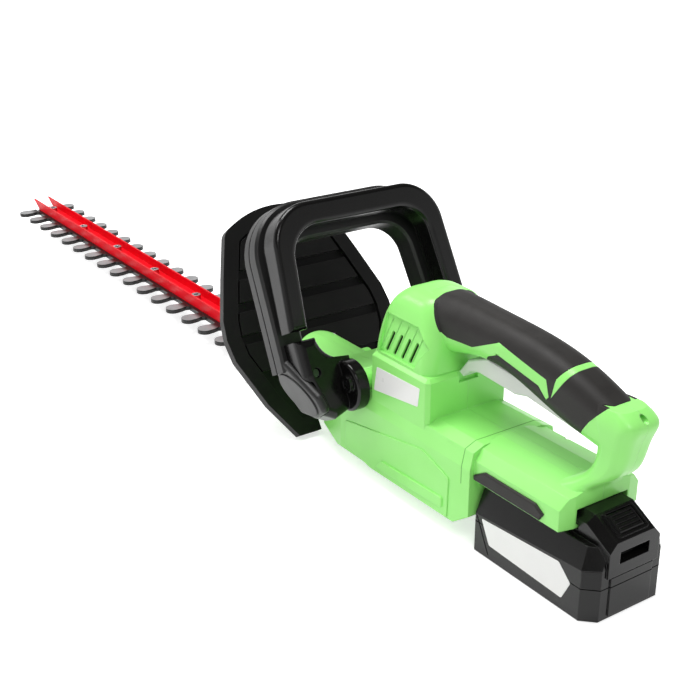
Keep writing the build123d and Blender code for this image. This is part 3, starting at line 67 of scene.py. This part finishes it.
FLOOR_SIZE = 30
FLOOR_DROP = 0.2 * MM
FLOOR_GLOW = 0.64

# Soft lamps: name, place, aim, size and power
LAMPS = (
    ("overhead soft box", (-0.75, -0.2, 1.85), (-0.2, 0, 0.1), 0.8, 26),
    ("left soft box", (-1.6, -0.85, 1.2), (-0.1, 0, 0.1), 0.4, 6),
    ("rear soft box", (1.05, -0.7, 1.8), (-0.05, 0, 0.1), 0.55, 9),
)

BEVEL_SAMPLES = 4
WEAR_RADIUS = 0.8 * MM
WEAR_SHARPNESS = 9.0
GRAIN_DISTANCE = 0.4 * MM
CORNER_STEPS = 6
RIM_STEPS = 2


# Small helpers for nodes
def set_inputs(node, **values):
    """Sets sockets of a node by name, with an underscore for each space."""
    for name, value in values.items():
        node.inputs[name.replace("_", " ")].default_value = value


def feed(tree, socket, value):
    """Links a socket to another one, or sets it to a plain value."""
    if isinstance(value, bpy.types.NodeSocket):
        tree.links.new(value, socket)
    else:
        socket.default_value = value


def math_node(tree, operation, *operands):
    """Math node whose operands are sockets or plain numbers."""
    node = tree.nodes.new("ShaderNodeMath")
    node.operation = operation
    for i, operand in enumerate(operands):
        feed(tree, node.inputs[i], operand)
    return node.outputs[0]


def noise_node(tree, scale, detail):
    """Noise over the piece's own coordinates; scale is a socket or a number."""
    place = tree.nodes.new("ShaderNodeTexCoord")
    noise = tree.nodes.new("ShaderNodeTexNoise")
    set_inputs(noise, Detail=detail)
    tree.links.new(place.outputs["Object"], noise.inputs["Vector"])
    feed(tree, noise.inputs["Scale"], scale)
    return noise.outputs["Fac"]


def mix_colours(tree, share, first, second):
    """Colour mix of two sockets or plain colours by a share."""
    node = tree.nodes.new("ShaderNodeMix")
    node.data_type = "RGBA"
    feed(tree, node.inputs["Factor"], share)
    feed(tree, node.inputs[6], first)
    feed(tree, node.inputs[7], second)
    return node.outputs[2]


def fade(tree, value, start, end, low=0.0, high=1.0):
    """Low where a value is at start and high at end, with a soft step between."""
    node = tree.nodes.new("ShaderNodeMapRange")
    node.interpolation_type = "SMOOTHSTEP"
    set_inputs(node, From_Min=start, From_Max=end, To_Min=low, To_Max=high)
    tree.links.new(value, node.inputs["Value"])
    return node.outputs[0]


def split_vector(tree, vector):
    """The three parts of a vector."""
    node = tree.nodes.new("ShaderNodeSeparateXYZ")
    tree.links.new(vector, node.inputs[0])
    return node.outputs["X"], node.outputs["Y"], node.outputs["Z"]


# Effects that several finishes share
def new_effect(name, inputs, outputs):
    """Empty node group with its sockets; returns the group and its two ends."""
    group = bpy.data.node_groups.new(name, "ShaderNodeTree")
    for socket, kind, value in inputs:
        made = group.interface.new_socket(socket, in_out="INPUT", socket_type=kind)
        made.default_value = value
    for socket, kind in outputs:
        group.interface.new_socket(socket, in_out="OUTPUT", socket_type=kind)
    start = group.nodes.new("NodeGroupInput")
    end = group.nodes.new("NodeGroupOutput")
    return group, start, end


def make_edge_wear():
    """Mask that is 1 on worn edges, broken up by noise."""
    group, start, end = new_effect(
        "edge wear",
        [("Radius", "NodeSocketFloat", WEAR_RADIUS), ("Amount", "NodeSocketFloat", 0.5)],
        [("Mask", "NodeSocketFloat")],
    )
    bevel = group.nodes.new("ShaderNodeBevel")
    bevel.samples = BEVEL_SAMPLES
    group.links.new(start.outputs["Radius"], bevel.inputs["Radius"])
    surface = group.nodes.new("ShaderNodeNewGeometry")
    turn = group.nodes.new("ShaderNodeVectorMath")
    turn.operation = "DOT_PRODUCT"
    group.links.new(bevel.outputs["Normal"], turn.inputs[0])
    group.links.new(surface.outputs["Normal"], turn.inputs[1])
    bend = math_node(group, "SUBTRACT", 1.0, turn.outputs["Value"])
    sharp = math_node(group, "MULTIPLY", bend, WEAR_SHARPNESS)
    patches = math_node(group, "MULTIPLY_ADD", noise_node(group, 190.0, 4.0), 2.4, -0.7)
    rubbed = math_node(group, "MULTIPLY", math_node(group, "MINIMUM", sharp, 1.0), patches)
    worn = math_node(group, "MULTIPLY", rubbed, start.outputs["Amount"])
    worn.node.use_clamp = True
    group.links.new(worn, end.inputs["Mask"])
    return group


def make_moulded_grain():
    """Fine texture of a moulded or rolled surface, as a height."""
    group, start, end = new_effect(
        "moulded grain",
        [("Scale", "NodeSocketFloat", 1500.0)],
        [("Height", "NodeSocketFloat")],
    )
    fine = noise_node(group, start.outputs["Scale"], 3.0)
    broad = noise_node(group, math_node(group, "MULTIPLY", start.outputs["Scale"], 0.11), 2.0)
    height = math_node(group, "MULTIPLY_ADD", broad, 0.6, math_node(group, "MULTIPLY", fine, 0.4))
    group.links.new(height, end.inputs["Height"])
    return group


def make_tone_drift():
    """Slow drift of a colour and of a roughness over a piece, as flow in a mould leaves it."""
    group, start, end = new_effect(
        "tone drift",
        [
            ("Pale", "NodeSocketColor", (1, 1, 1, 1)),
            ("Deep", "NodeSocketColor", (0.5, 0.5, 0.5, 1)),
            ("Scale", "NodeSocketFloat", 14.0),
            ("Polished", "NodeSocketFloat", 0.3),
            ("Dull", "NodeSocketFloat", 0.45),
        ],
        [("Color", "NodeSocketColor"), ("Roughness", "NodeSocketFloat")],
    )
    slow = noise_node(group, start.outputs["Scale"], 3.0)
    share = math_node(group, "MULTIPLY_ADD", slow, 2.2, -0.6)
    share.node.use_clamp = True
    colour = mix_colours(group, share, start.outputs["Pale"], start.outputs["Deep"])
    smudge = noise_node(group, math_node(group, "MULTIPLY", start.outputs["Scale"], 4.0), 5.0)
    span = math_node(group, "SUBTRACT", start.outputs["Dull"], start.outputs["Polished"])
    rough = math_node(group, "MULTIPLY_ADD", smudge, span, start.outputs["Polished"])
    group.links.new(colour, end.inputs["Color"])
    group.links.new(rough, end.inputs["Roughness"])
    return group


def make_settled_dust():
    """Lays a little pale dust on faces that look up."""
    group, start, end = new_effect(
        "settled dust",
        [
            ("Color", "NodeSocketColor", (0.5, 0.5, 0.5, 1)),
            ("Dust", "NodeSocketColor", (0.55, 0.53, 0.48, 1)),
            ("Amount", "NodeSocketFloat", 0.05),
        ],
        [("Color", "NodeSocketColor")],
    )
    surface = group.nodes.new("ShaderNodeNewGeometry")
    up = math_node(group, "MAXIMUM", split_vector(group, surface.outputs["Normal"])[2], 0.0)
    patches = math_node(group, "MULTIPLY", up, noise_node(group, 60.0, 6.0))
    share = math_node(group, "MULTIPLY", patches, start.outputs["Amount"])
    colour = mix_colours(group, share, start.outputs["Color"], start.outputs["Dust"])
    group.links.new(colour, end.inputs["Color"])
    return group


EDGE_WEAR = make_edge_wear()
MOULDED_GRAIN = make_moulded_grain()
TONE_DRIFT = make_tone_drift()
SETTLED_DUST = make_settled_dust()


# Finishes
def place_effect(tree, effect, **values):
    """Puts a shared effect in a material with its own values."""
    node = tree.nodes.new("ShaderNodeGroup")
    node.node_tree = effect
    set_inputs(node, **values)
    return node


def linear(red, green, blue):
    """Colour given in 0 to 255 screen values, as light."""
    parts = []
    for value in (red, green, blue):
        share = value / 255
        parts.append(share / 12.92 if share <= 0.04045 else ((share + 0.055) / 1.055) ** 2.4)
    return (*parts, 1.0)


def new_finish(
    name,
    pale,
    deep,
    polished,
    dull,
    worn=None,
    wear=0.0,
    round_edge=0.5 * MM,
    grain=1500.0,
    grain_depth=0.06,
    dust=0.04,
    drift=14.0,
    metal=0.0,
    shade=None,
    **shader_values,
):
    """Material of one finish: drifting colour, dust, worn edges, painted shade where a shade is
    given, softened corners and grain.
    """
    material = bpy.data.materials.new(name)
    material.use_nodes = True
    tree = material.node_tree
    shader = tree.nodes["Principled BSDF"]
    set_inputs(shader, Metallic=metal, **shader_values)
    tone = place_effect(
        tree, TONE_DRIFT, Pale=pale, Deep=deep, Scale=drift, Polished=polished, Dull=dull
    )
    dusty = place_effect(tree, SETTLED_DUST, Amount=dust)
    tree.links.new(tone.outputs["Color"], dusty.inputs["Color"])
    colour = dusty.outputs["Color"]
    if worn is not None:
        edges = place_effect(tree, EDGE_WEAR, Amount=wear)
        colour = mix_colours(tree, edges.outputs["Mask"], colour, worn)
    # Painted shade, where the finish is given one
    if shade is not None:
        colour = shade(tree, colour)
    tree.links.new(colour, shader.inputs["Base Color"])
    tree.links.new(tone.outputs["Roughness"], shader.inputs["Roughness"])
    surface = place_effect(tree, MOULDED_GRAIN, Scale=grain)
    corner = tree.nodes.new("ShaderNodeBevel")
    corner.samples = BEVEL_SAMPLES
    set_inputs(corner, Radius=round_edge)
    bump = tree.nodes.new("ShaderNodeBump")
    set_inputs(bump, Strength=grain_depth, Distance=GRAIN_DISTANCE)
    tree.links.new(surface.outputs["Height"], bump.inputs["Height"])
    tree.links.new(corner.outputs["Normal"], bump.inputs["Normal"])
    tree.links.new(bump.outputs["Normal"], shader.inputs["Normal"])
    return material


# The panel of the vents on the tower's flanks, in millimetres, and how far it leans in
VENT_SIDE = 37
VENT_FOOT = 116
VENT_LEAN_SINE = 0.1736
VENT_LEAN_COSINE = 0.9848


def paint_vent_shade(tree, colour):
    """Painted shade in the slots on the tower's flanks, which lean in by ten degrees."""
    x, y, z = split_vector(tree, tree.nodes.new("ShaderNodeTexCoord").outputs["Object"])
    outward = math_node(tree, "SUBTRACT", math_node(tree, "ABSOLUTE", y), VENT_SIDE * MM)
    upward = math_node(tree, "SUBTRACT", z, VENT_FOOT * MM)
    lean = math_node(tree, "MULTIPLY", upward, VENT_LEAN_SINE)
    depth = math_node(tree, "MULTIPLY_ADD", outward, VENT_LEAN_COSINE, lean)
    sunk = fade(tree, depth, -2.7 * MM, -4.2 * MM)
    along = math_node(tree, "COMPARE", x, -158 * MM, 20 * MM)
    level = math_node(tree, "COMPARE", z, 129 * MM, 11 * MM)
    vent_shade = math_node(tree, "MULTIPLY", sunk, math_node(tree, "MULTIPLY", along, level))
    # Mixes a painted shade colour into the slots
    return mix_colours(tree, vent_shade, colour, linear(14, 18, 12))


def paint_blade_shade(tree, colour):
    """Painted shade on the roots along the channel, and darker upright edges, on the ground teeth
    of a blade.
    """
    y = split_vector(tree, tree.nodes.new("ShaderNodeTexCoord").outputs["Object"])[1]
    # Share clear of the painted shade along the channel, from 16 to 24 millimetres out from the
    # middle
    ground = fade(tree, math_node(tree, "ABSOLUTE", y), 16 * MM, 24 * MM)
    up = split_vector(tree, tree.nodes.new("ShaderNodeNewGeometry").outputs["Normal"])[2]
    flat = fade(tree, math_node(tree, "ABSOLUTE", up), 0.35, 0.75)
    bright = math_node(tree, "MULTIPLY", ground, flat)
    return mix_colours(tree, bright, linear(22, 21, 21), colour)


# The green moulding carries painted shade in the vent slots on the tower's flanks.
green_plastic = new_finish(
    "bright green moulding", linear(156, 240, 126), linear(146, 234, 114), 0.28, 0.40,
    worn=linear(192, 246, 170), wear=0.35, round_edge=1.1 * MM, grain_depth=0.05, dust=0.03,
    shade=paint_vent_shade,
)
soft_grip = new_finish(
    "soft black skin", linear(33, 30, 29), linear(26, 24, 23), 0.48, 0.62,
    worn=linear(66, 64, 64), wear=0.3, round_edge=0.9 * MM, grain=2600.0, grain_depth=0.16,
    Specular_IOR_Level=0.3,
)
black_plastic = new_finish(
    "satin black moulding", linear(9, 8, 8), linear(6, 6, 6), 0.16, 0.27,
    worn=linear(34, 34, 34), wear=0.4, round_edge=0.8 * MM, grain_depth=0.05, dust=0.01,
    Specular_IOR_Level=0.32,
)
guard_plastic = new_finish(
    "dull black moulding", linear(11, 10, 10), linear(7, 7, 7), 0.40, 0.50,
    worn=linear(40, 39, 39), wear=0.4, round_edge=0.8 * MM, grain=2000.0, grain_depth=0.1,
    dust=0.01, Specular_IOR_Level=0.28,
)
frame_plastic = new_finish(
    "dull grey-black moulding", linear(26, 26, 26), linear(20, 20, 20), 0.36, 0.46,
    worn=linear(70, 70, 69), wear=0.4, round_edge=0.8 * MM, grain=2000.0, grain_depth=0.1,
    dust=0.01, Specular_IOR_Level=0.42,
)
pack_plastic = new_finish(
    "fine-grained black moulding", linear(12, 11, 11), linear(8, 8, 8), 0.24, 0.34,
    worn=linear(56, 54, 53), wear=0.4, round_edge=0.8 * MM, grain=2200.0, grain_depth=0.12,
    dust=0.01, Specular_IOR_Level=0.26,
)
trigger_plastic = new_finish(
    "light grey moulding", linear(226, 227, 224), linear(214, 215, 212), 0.30, 0.42,
    worn=linear(238, 238, 236), wear=0.2, round_edge=1.0 * MM, dust=0.02,
)
# The blade steel carries painted shade on the roots of its teeth along the channel.
blade_steel = new_finish(
    "ground blade steel", linear(160, 161, 162), linear(136, 137, 138), 0.30, 0.46,
    worn=linear(60, 60, 60), wear=0.6, round_edge=0.25 * MM, grain=900.0, grain_depth=0.05,
    dust=0.02, drift=55.0, metal=0.2, shade=paint_blade_shade,
)
red_paint = new_finish(
    "bright red coat", linear(238, 8, 32), linear(222, 4, 24), 0.30, 0.44,
    worn=linear(246, 90, 100), wear=0.35, grain=700.0, grain_depth=0.05, dust=0.01,
    Specular_IOR_Level=0.12,
)
fastener_steel = new_finish(
    "blackened fastener steel", linear(92, 92, 94), linear(66, 66, 68), 0.24, 0.40,
    worn=linear(170, 170, 170), wear=0.7, round_edge=0.3 * MM, grain=1200.0, metal=1.0, drift=90.0,
)
bright_zinc = new_finish(
    "bright zinc plating", linear(214, 214, 216), linear(186, 186, 190), 0.18, 0.32,
    worn=linear(120, 120, 120), wear=0.5, round_edge=0.3 * MM, grain=1200.0, grain_depth=0.03,
    metal=1.0, drift=90.0,
)
gear_steel = new_finish(
    "machined gear steel", linear(176, 176, 178), linear(150, 150, 152), 0.24, 0.38,
    worn=linear(210, 210, 210), wear=0.4, round_edge=0.2 * MM, metal=1.0, drift=60.0,
)
cast_alloy = new_finish(
    "cast alloy", linear(182, 183, 186), linear(160, 161, 164), 0.38, 0.55,
    worn=linear(214, 214, 216), wear=0.4, grain=800.0, grain_depth=0.2, metal=1.0, drift=40.0,
)
motor_plate = new_finish(
    "zinc plate", linear(186, 187, 190), linear(164, 165, 168), 0.26, 0.42,
    grain_depth=0.04, metal=1.0, drift=50.0,
)
board_laminate = new_finish(
    "board laminate", linear(30, 96, 56), linear(22, 80, 46), 0.30, 0.42,
    grain=900.0, grain_depth=0.05, drift=70.0,
)
contact_brass = new_finish(
    "contact brass", linear(206, 172, 96), linear(186, 150, 78), 0.22, 0.36,
    grain_depth=0.04, metal=1.0, drift=80.0,
)
cell_sleeve = new_finish(
    "cell sleeve", linear(70, 120, 170), linear(60, 106, 154), 0.32, 0.44,
    grain_depth=0.03, drift=40.0,
)
spring_steel = new_finish(
    "spring wire", linear(176, 176, 178), linear(146, 146, 148), 0.26, 0.40,
    grain_depth=0.04, metal=1.0, drift=80.0,
)
label_film = new_finish(
    "white label film", linear(240, 240, 238), linear(234, 234, 232), 0.24, 0.34,
    round_edge=0.2 * MM, grain_depth=0.02, dust=0.01,
)
# Near-black matte finish painted as the shade in the pack's seam groove
seam_shadow = new_finish(
    "painted pack seam shade", linear(4, 4, 4), linear(2, 2, 2), 0.7, 0.8,
    grain_depth=0.02, dust=0.0, Specular_IOR_Level=0.05,
)
# Darker green painted as the shade in the casing's seam
green_seam_shade = new_finish(
    "shaded green seam", linear(96, 176, 72), linear(86, 164, 62), 0.5, 0.6,
    grain_depth=0.02, dust=0.0,
)

FINISH_OF_SLOT = {
    "green_plastic": green_plastic,
    "soft_grip": soft_grip,
    "black_plastic": black_plastic,
    "dark_plastic": pack_plastic,
    "trigger_plastic": trigger_plastic,
    "blade_steel": blade_steel,
    "red_paint": red_paint,
    "fastener_steel": fastener_steel,
    "gear_steel": gear_steel,
    "cast_alloy": cast_alloy,
    "motor_plate": motor_plate,
    "board_laminate": board_laminate,
    "contact_brass": contact_brass,
    "cell_can": cell_sleeve,
    "spring_steel": spring_steel,
}
FINISH_OF_NODE = {
    "channel_bolts": bright_zinc,
    "channel_nuts": bright_zinc,
    "guard": guard_plastic,
    "handle_frame": frame_plastic,
}


def dress_nodes():
    """Gives every node of the frame its own finish, or that of its slot in the record."""
    for piece in frame["record"]["subparts"]:
        finish = FINISH_OF_NODE.get(piece["node"], FINISH_OF_SLOT[piece["material_slot"]])
        for place in nodes[piece["node"]].material_slots:
            place.material = finish


dress_nodes()


# Thin pieces on the faces of the nodes
def add_piece(name, mesh, body, finish):
    """Puts a finished mesh in the scene as a piece that rides on a body."""
    bmesh.ops.recalc_face_normals(mesh, faces=list(mesh.faces))
    data = bpy.data.meshes.new(name)
    mesh.to_mesh(data)
    mesh.free()
    data.materials.append(finish)
    piece = bpy.data.objects.new(name, data)
    bpy.context.scene.collection.objects.link(piece)
    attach(piece, body)


def add_plate(
    name, outline, across, origin, thickness, corner, edge, body, finish, up=(0, 0, 1)
):
    """Plate with rounded corners and softened rim; its outline is in millimetres."""
    across = Vector(across)
    up = Vector(up)
    mesh = bmesh.new()
    mesh.faces.new([mesh.verts.new(Vector((u, v, 0)) * MM) for u, v in outline])
    if corner:
        bmesh.ops.bevel(
            mesh, geom=list(mesh.verts), offset=corner * MM, segments=CORNER_STEPS,
            profile=0.5, affect="VERTICES",
        )
    raised = bmesh.ops.extrude_face_region(mesh, geom=list(mesh.faces))
    lifted = [part for part in raised["geom"] if isinstance(part, bmesh.types.BMVert)]
    bmesh.ops.translate(mesh, verts=lifted, vec=(0, 0, thickness * MM))
    rim = [line for line in mesh.edges if all(end in lifted for end in line.verts)]
    bmesh.ops.bevel(
        mesh, geom=rim, offset=edge * MM, segments=RIM_STEPS, profile=0.5, affect="EDGES"
    )
    stand = Matrix((across, up, across.cross(up))).transposed().to_4x4()
    mesh.transform(Matrix.Translation(Vector(origin) * MM) @ stand)
    add_piece(name, mesh, body, finish)


def add_band(name, outline, low, high, proud, depth, body, finish):
    """Flat band round an upright outline, standing proud of it; all in millimetres."""
    mesh = bmesh.new()
    rings = []
    count = len(outline)
    for reach, level in ((proud, low), (proud, high), (-depth, high), (-depth, low)):
        ring = []
        for i, point in enumerate(outline):
            here = Vector(point)
            before = (here - Vector(outline[i - 1])).normalized()
            after = (Vector(outline[(i + 1) % count]) - here).normalized()
            out = Vector((before.y + after.y, -before.x - after.x)).normalized()
            spread = reach / max(out.dot(Vector((before.y, -before.x))), 0.3)
            ring.append(mesh.verts.new(Vector((*(here + out * spread), level)) * MM))
        rings.append(ring)
    for k, ring in enumerate(rings):
        following = rings[(k + 1) % len(rings)]
        for i in range(count):
            j = (i + 1) % count
            mesh.faces.new((ring[i], ring[j], following[j], following[i]))
    add_piece(name, mesh, body, finish)


def add_ribbon(name, course, place, width, proud, depth, body, finish):
    """Narrow ribbon over a course of Y and Z points, at one place along X; in millimetres."""
    mesh = bmesh.new()
    rows = []
    for i, point in enumerate(course):
        here = Vector(point)
        ends = (Vector(course[max(i - 1, 0)]), Vector(course[min(i + 1, len(course) - 1)]))
        along = (ends[1] - ends[0]).normalized()
        out = Vector((-along.y, along.x))
        row = []
        for reach, shift in ((proud, -0.5), (proud, 0.5), (-depth, 0.5), (-depth, -0.5)):
            row.append(mesh.verts.new(Vector((place + shift * width, *(here + out * reach))) * MM))
        rows.append(row)
    for row, following in zip(rows, rows[1:]):
        for k in range(4):
            mesh.faces.new((row[k], row[(k + 1) % 4], following[(k + 1) % 4], following[k]))
    mesh.faces.new(rows[0])
    mesh.faces.new(rows[-1])
    add_piece(name, mesh, body, finish)


# Faces of the solids that the thin pieces lie on, in millimetres
SIDES = ((-1, "left"), (1, "right"))
BELLY_SIDE = 42
TOWER_SIDE = 40
PACK_SIDE = 38
PACK_END = 60
PACK_CORNER = 9.7
PACK_FRONT_CORNER = 2
PACK_SEAM = 26
PANEL_HALF = 20
PANEL_PROUD = 1
LOOP_FOOT = (-229, 85, 77)
FOOT_LEAN = math.radians(16)

# Bare labels on the left side
LABEL_THICKNESS = 0.3
LABEL_CORNER = 1.2
LABEL_EDGE = 0.1
TOWER_LABEL = [(-184, 84.8), (-127.4, 91.8), (-125.4, 107.6), (-180.4, 106)]
PACK_LABEL = [(-41.7, 12.5), (33.8, 9.9), (41.2, 25.2), (29, 36.6), (-51, 30.8)]
for name, outline, face, body in (
    ("tower_label", TOWER_LABEL, TOWER_SIDE, "casing"),
    ("pack_label", PACK_LABEL, PACK_SIDE, "pack"),
):
    add_plate(
        name, outline, (1, 0, 0), (0, -face, 0), LABEL_THICKNESS, LABEL_CORNER, LABEL_EDGE,
        body, label_film,
    )

# Raised panel and low rib on each side of the belly, and a cover on each rear corner of the pack
BELLY_PANEL = [(-221, 21), (-186, 14), (-86, 15.5), (-85, 50), (-118, 60.6), (-221, 43.5)]
BELLY_RIB = [(-177, 19.1), (-91, 22), (-91, 31), (-169, 27.9)]
CORNER_COVER = [(6.6, 26.5), (-6.6, 26.5), (-6.6, 40.6), (6.6, 39.9)]
COVER_MIDDLE = PACK_CORNER / 2 + 0.18
SLANT = 0.5 ** 0.5
for side, name in SIDES:
    for label, outline, rise in (("panel", BELLY_PANEL, 0.9), ("rib", BELLY_RIB, 2.2)):
        add_plate(
            f"belly_{label}_{name}", [(-side * u, v) for u, v in outline], (-side, 0, 0),
            (0, side * BELLY_SIDE, 0), rise, 2, 0.6, "casing", green_plastic,
        )
    add_plate(
        f"pack_corner_{name}", [(side * u, v) for u, v in CORNER_COVER],
        (-side * SLANT, SLANT, 0), (PACK_END - COVER_MIDDLE, side * (PACK_SIDE - COVER_MIDDLE), 0),
        0.3, 0.3, 0.1, "pack", pack_plastic,
    )

# Oval pad on each foot of the loop
PAD_HALVES = (27, 14.5)
PAD_MIDDLE = (2, -2)
PAD_TURN = math.radians(-12)
PAD_POINTS = 56
pad = []
for step in range(PAD_POINTS):
    turn = step * math.tau / PAD_POINTS
    u, v = PAD_HALVES[0] * math.cos(turn), PAD_HALVES[1] * math.sin(turn)
    pad.append((
        PAD_MIDDLE[0] + u * math.cos(PAD_TURN) - v * math.sin(PAD_TURN),
        PAD_MIDDLE[1] + u * math.sin(PAD_TURN) + v * math.cos(PAD_TURN),
    ))
for side, name in SIDES:
    add_plate(
        f"foot_pad_{name}", [(-side * u, v) for u, v in pad], (-side, 0, 0),
        (LOOP_FOOT[0], side * LOOP_FOOT[1], LOOP_FOOT[2]), 1.1, 0, 0.8,
        "casing", frame_plastic,
        up=(0, side * math.sin(FOOT_LEAN), math.cos(FOOT_LEAN)),
    )

# Darker green ribbon painted as the shade in the seam across the casing, ahead of the pack
over_belly = [
    (-BELLY_SIDE, 52),
    (-BELLY_SIDE, 66),
    (3 - BELLY_SIDE, 80),
    (13 - BELLY_SIDE, 84),
]
over_belly += [(-y, z) for y, z in reversed(over_belly)]
add_ribbon(
    "belly_seam", over_belly, -71.5, 0.6, 0.08, 0.6, "casing", green_seam_shade
)

# Very dark band painted as the shade in the seam between the two cases of the pack
half_seam = [
    (PACK_END + PANEL_PROUD, PANEL_HALF),
    (PACK_END, PANEL_HALF),
    (PACK_END, PACK_SIDE - PACK_CORNER),
    (PACK_END - PACK_CORNER, PACK_SIDE),
    (-PACK_END + PACK_FRONT_CORNER, PACK_SIDE),
    (-PACK_END, PACK_SIDE - PACK_FRONT_CORNER),
]
add_band(
    "pack_seam", half_seam + [(x, -y) for x, y in reversed(half_seam)],
    PACK_SEAM - 0.35, PACK_SEAM + 0.35, 0.06, 0.6, "pack", seam_shadow,
)


# Camera, floor and light
def add_camera():
    """Camera at the photograph's viewpoint."""
    data = bpy.data.cameras.new("photo camera")
    data.lens = CAMERA_LENS
    data.sensor_width = FILM_WIDTH
    data.clip_start = 0.01
    camera = bpy.data.objects.new("photo camera", data)
    bpy.context.scene.collection.objects.link(camera)
    right = CAMERA_FORWARD.cross(Vector((0, 0, 1))).normalized()
    up = right.cross(CAMERA_FORWARD).normalized()
    turn = Matrix((right, up, -CAMERA_FORWARD.normalized())).transposed().to_4x4()
    camera.matrix_world = Matrix.Translation(CAMERA_PLACE) @ turn
    bpy.context.scene.camera = camera


def seen_ray(tree):
    """1 for rays that show the background: from the camera, a gloss or a clear piece."""
    path = tree.nodes.new("ShaderNodeLightPath")
    direct = math_node(
        tree, "MAXIMUM", path.outputs["Is Camera Ray"], path.outputs["Is Glossy Ray"]
    )
    return math_node(tree, "MAXIMUM", direct, path.outputs["Is Transmission Ray"])


def add_floor():
    """Pale floor that keeps the shadow of the tool."""
    bpy.ops.mesh.primitive_plane_add(
        size=FLOOR_SIZE, location=(0, 0, cad_box[0].z - FLOOR_DROP)
    )
    floor = bpy.context.object
    floor.name = "pale floor"
    material = bpy.data.materials.new("pale paper")
    material.use_nodes = True
    tree = material.node_tree
    shader = tree.nodes["Principled BSDF"]
    set_inputs(shader, Base_Color=(0.8, 0.8, 0.8, 1), Roughness=0.9, Specular_IOR_Level=0.1)
    glow = tree.nodes.new("ShaderNodeEmission")
    tree.links.new(math_node(tree, "MULTIPLY", seen_ray(tree), FLOOR_GLOW), glow.inputs["Strength"])
    both = tree.nodes.new("ShaderNodeAddShader")
    tree.links.new(shader.outputs[0], both.inputs[0])
    tree.links.new(glow.outputs[0], both.inputs[1])
    tree.links.new(both.outputs[0], tree.nodes["Material Output"].inputs["Surface"])
    floor.data.materials.append(material)


def add_world():
    """White room: even light on the tool and white behind it."""
    world = bpy.data.worlds.new("white room")
    bpy.context.scene.world = world
    world.use_nodes = True
    tree = world.node_tree
    shade = tree.nodes["Background"]
    set_inputs(shade, Color=(1, 1, 1, 1))
    height = split_vector(tree, tree.nodes.new("ShaderNodeTexCoord").outputs["Generated"])[2]
    room = fade(tree, height, WALL_END, CEILING_START, WALL_LEVEL, CEILING_LEVEL)
    extra = math_node(tree, "SUBTRACT", room, ROOM_LEVEL)
    shown = math_node(tree, "MULTIPLY", seen_ray(tree), extra)
    level = math_node(tree, "ADD", shown, ROOM_LEVEL)
    tree.links.new(level, shade.inputs["Strength"])


def add_lamp(name, place, aim, size, power):
    """Square soft lamp that looks at a point."""
    data = bpy.data.lights.new(name, "AREA")
    data.size = size
    data.energy = power
    lamp = bpy.data.objects.new(name, data)
    bpy.context.scene.collection.objects.link(lamp)
    lamp.location = place
    lamp.rotation_euler = (Vector(aim) - Vector(place)).to_track_quat("-Z", "Y").to_euler()


add_camera()
add_floor()
add_world()
for lamp_values in LAMPS:
    add_lamp(*lamp_values)
bpy.context.scene.view_settings.view_transform = "Standard"
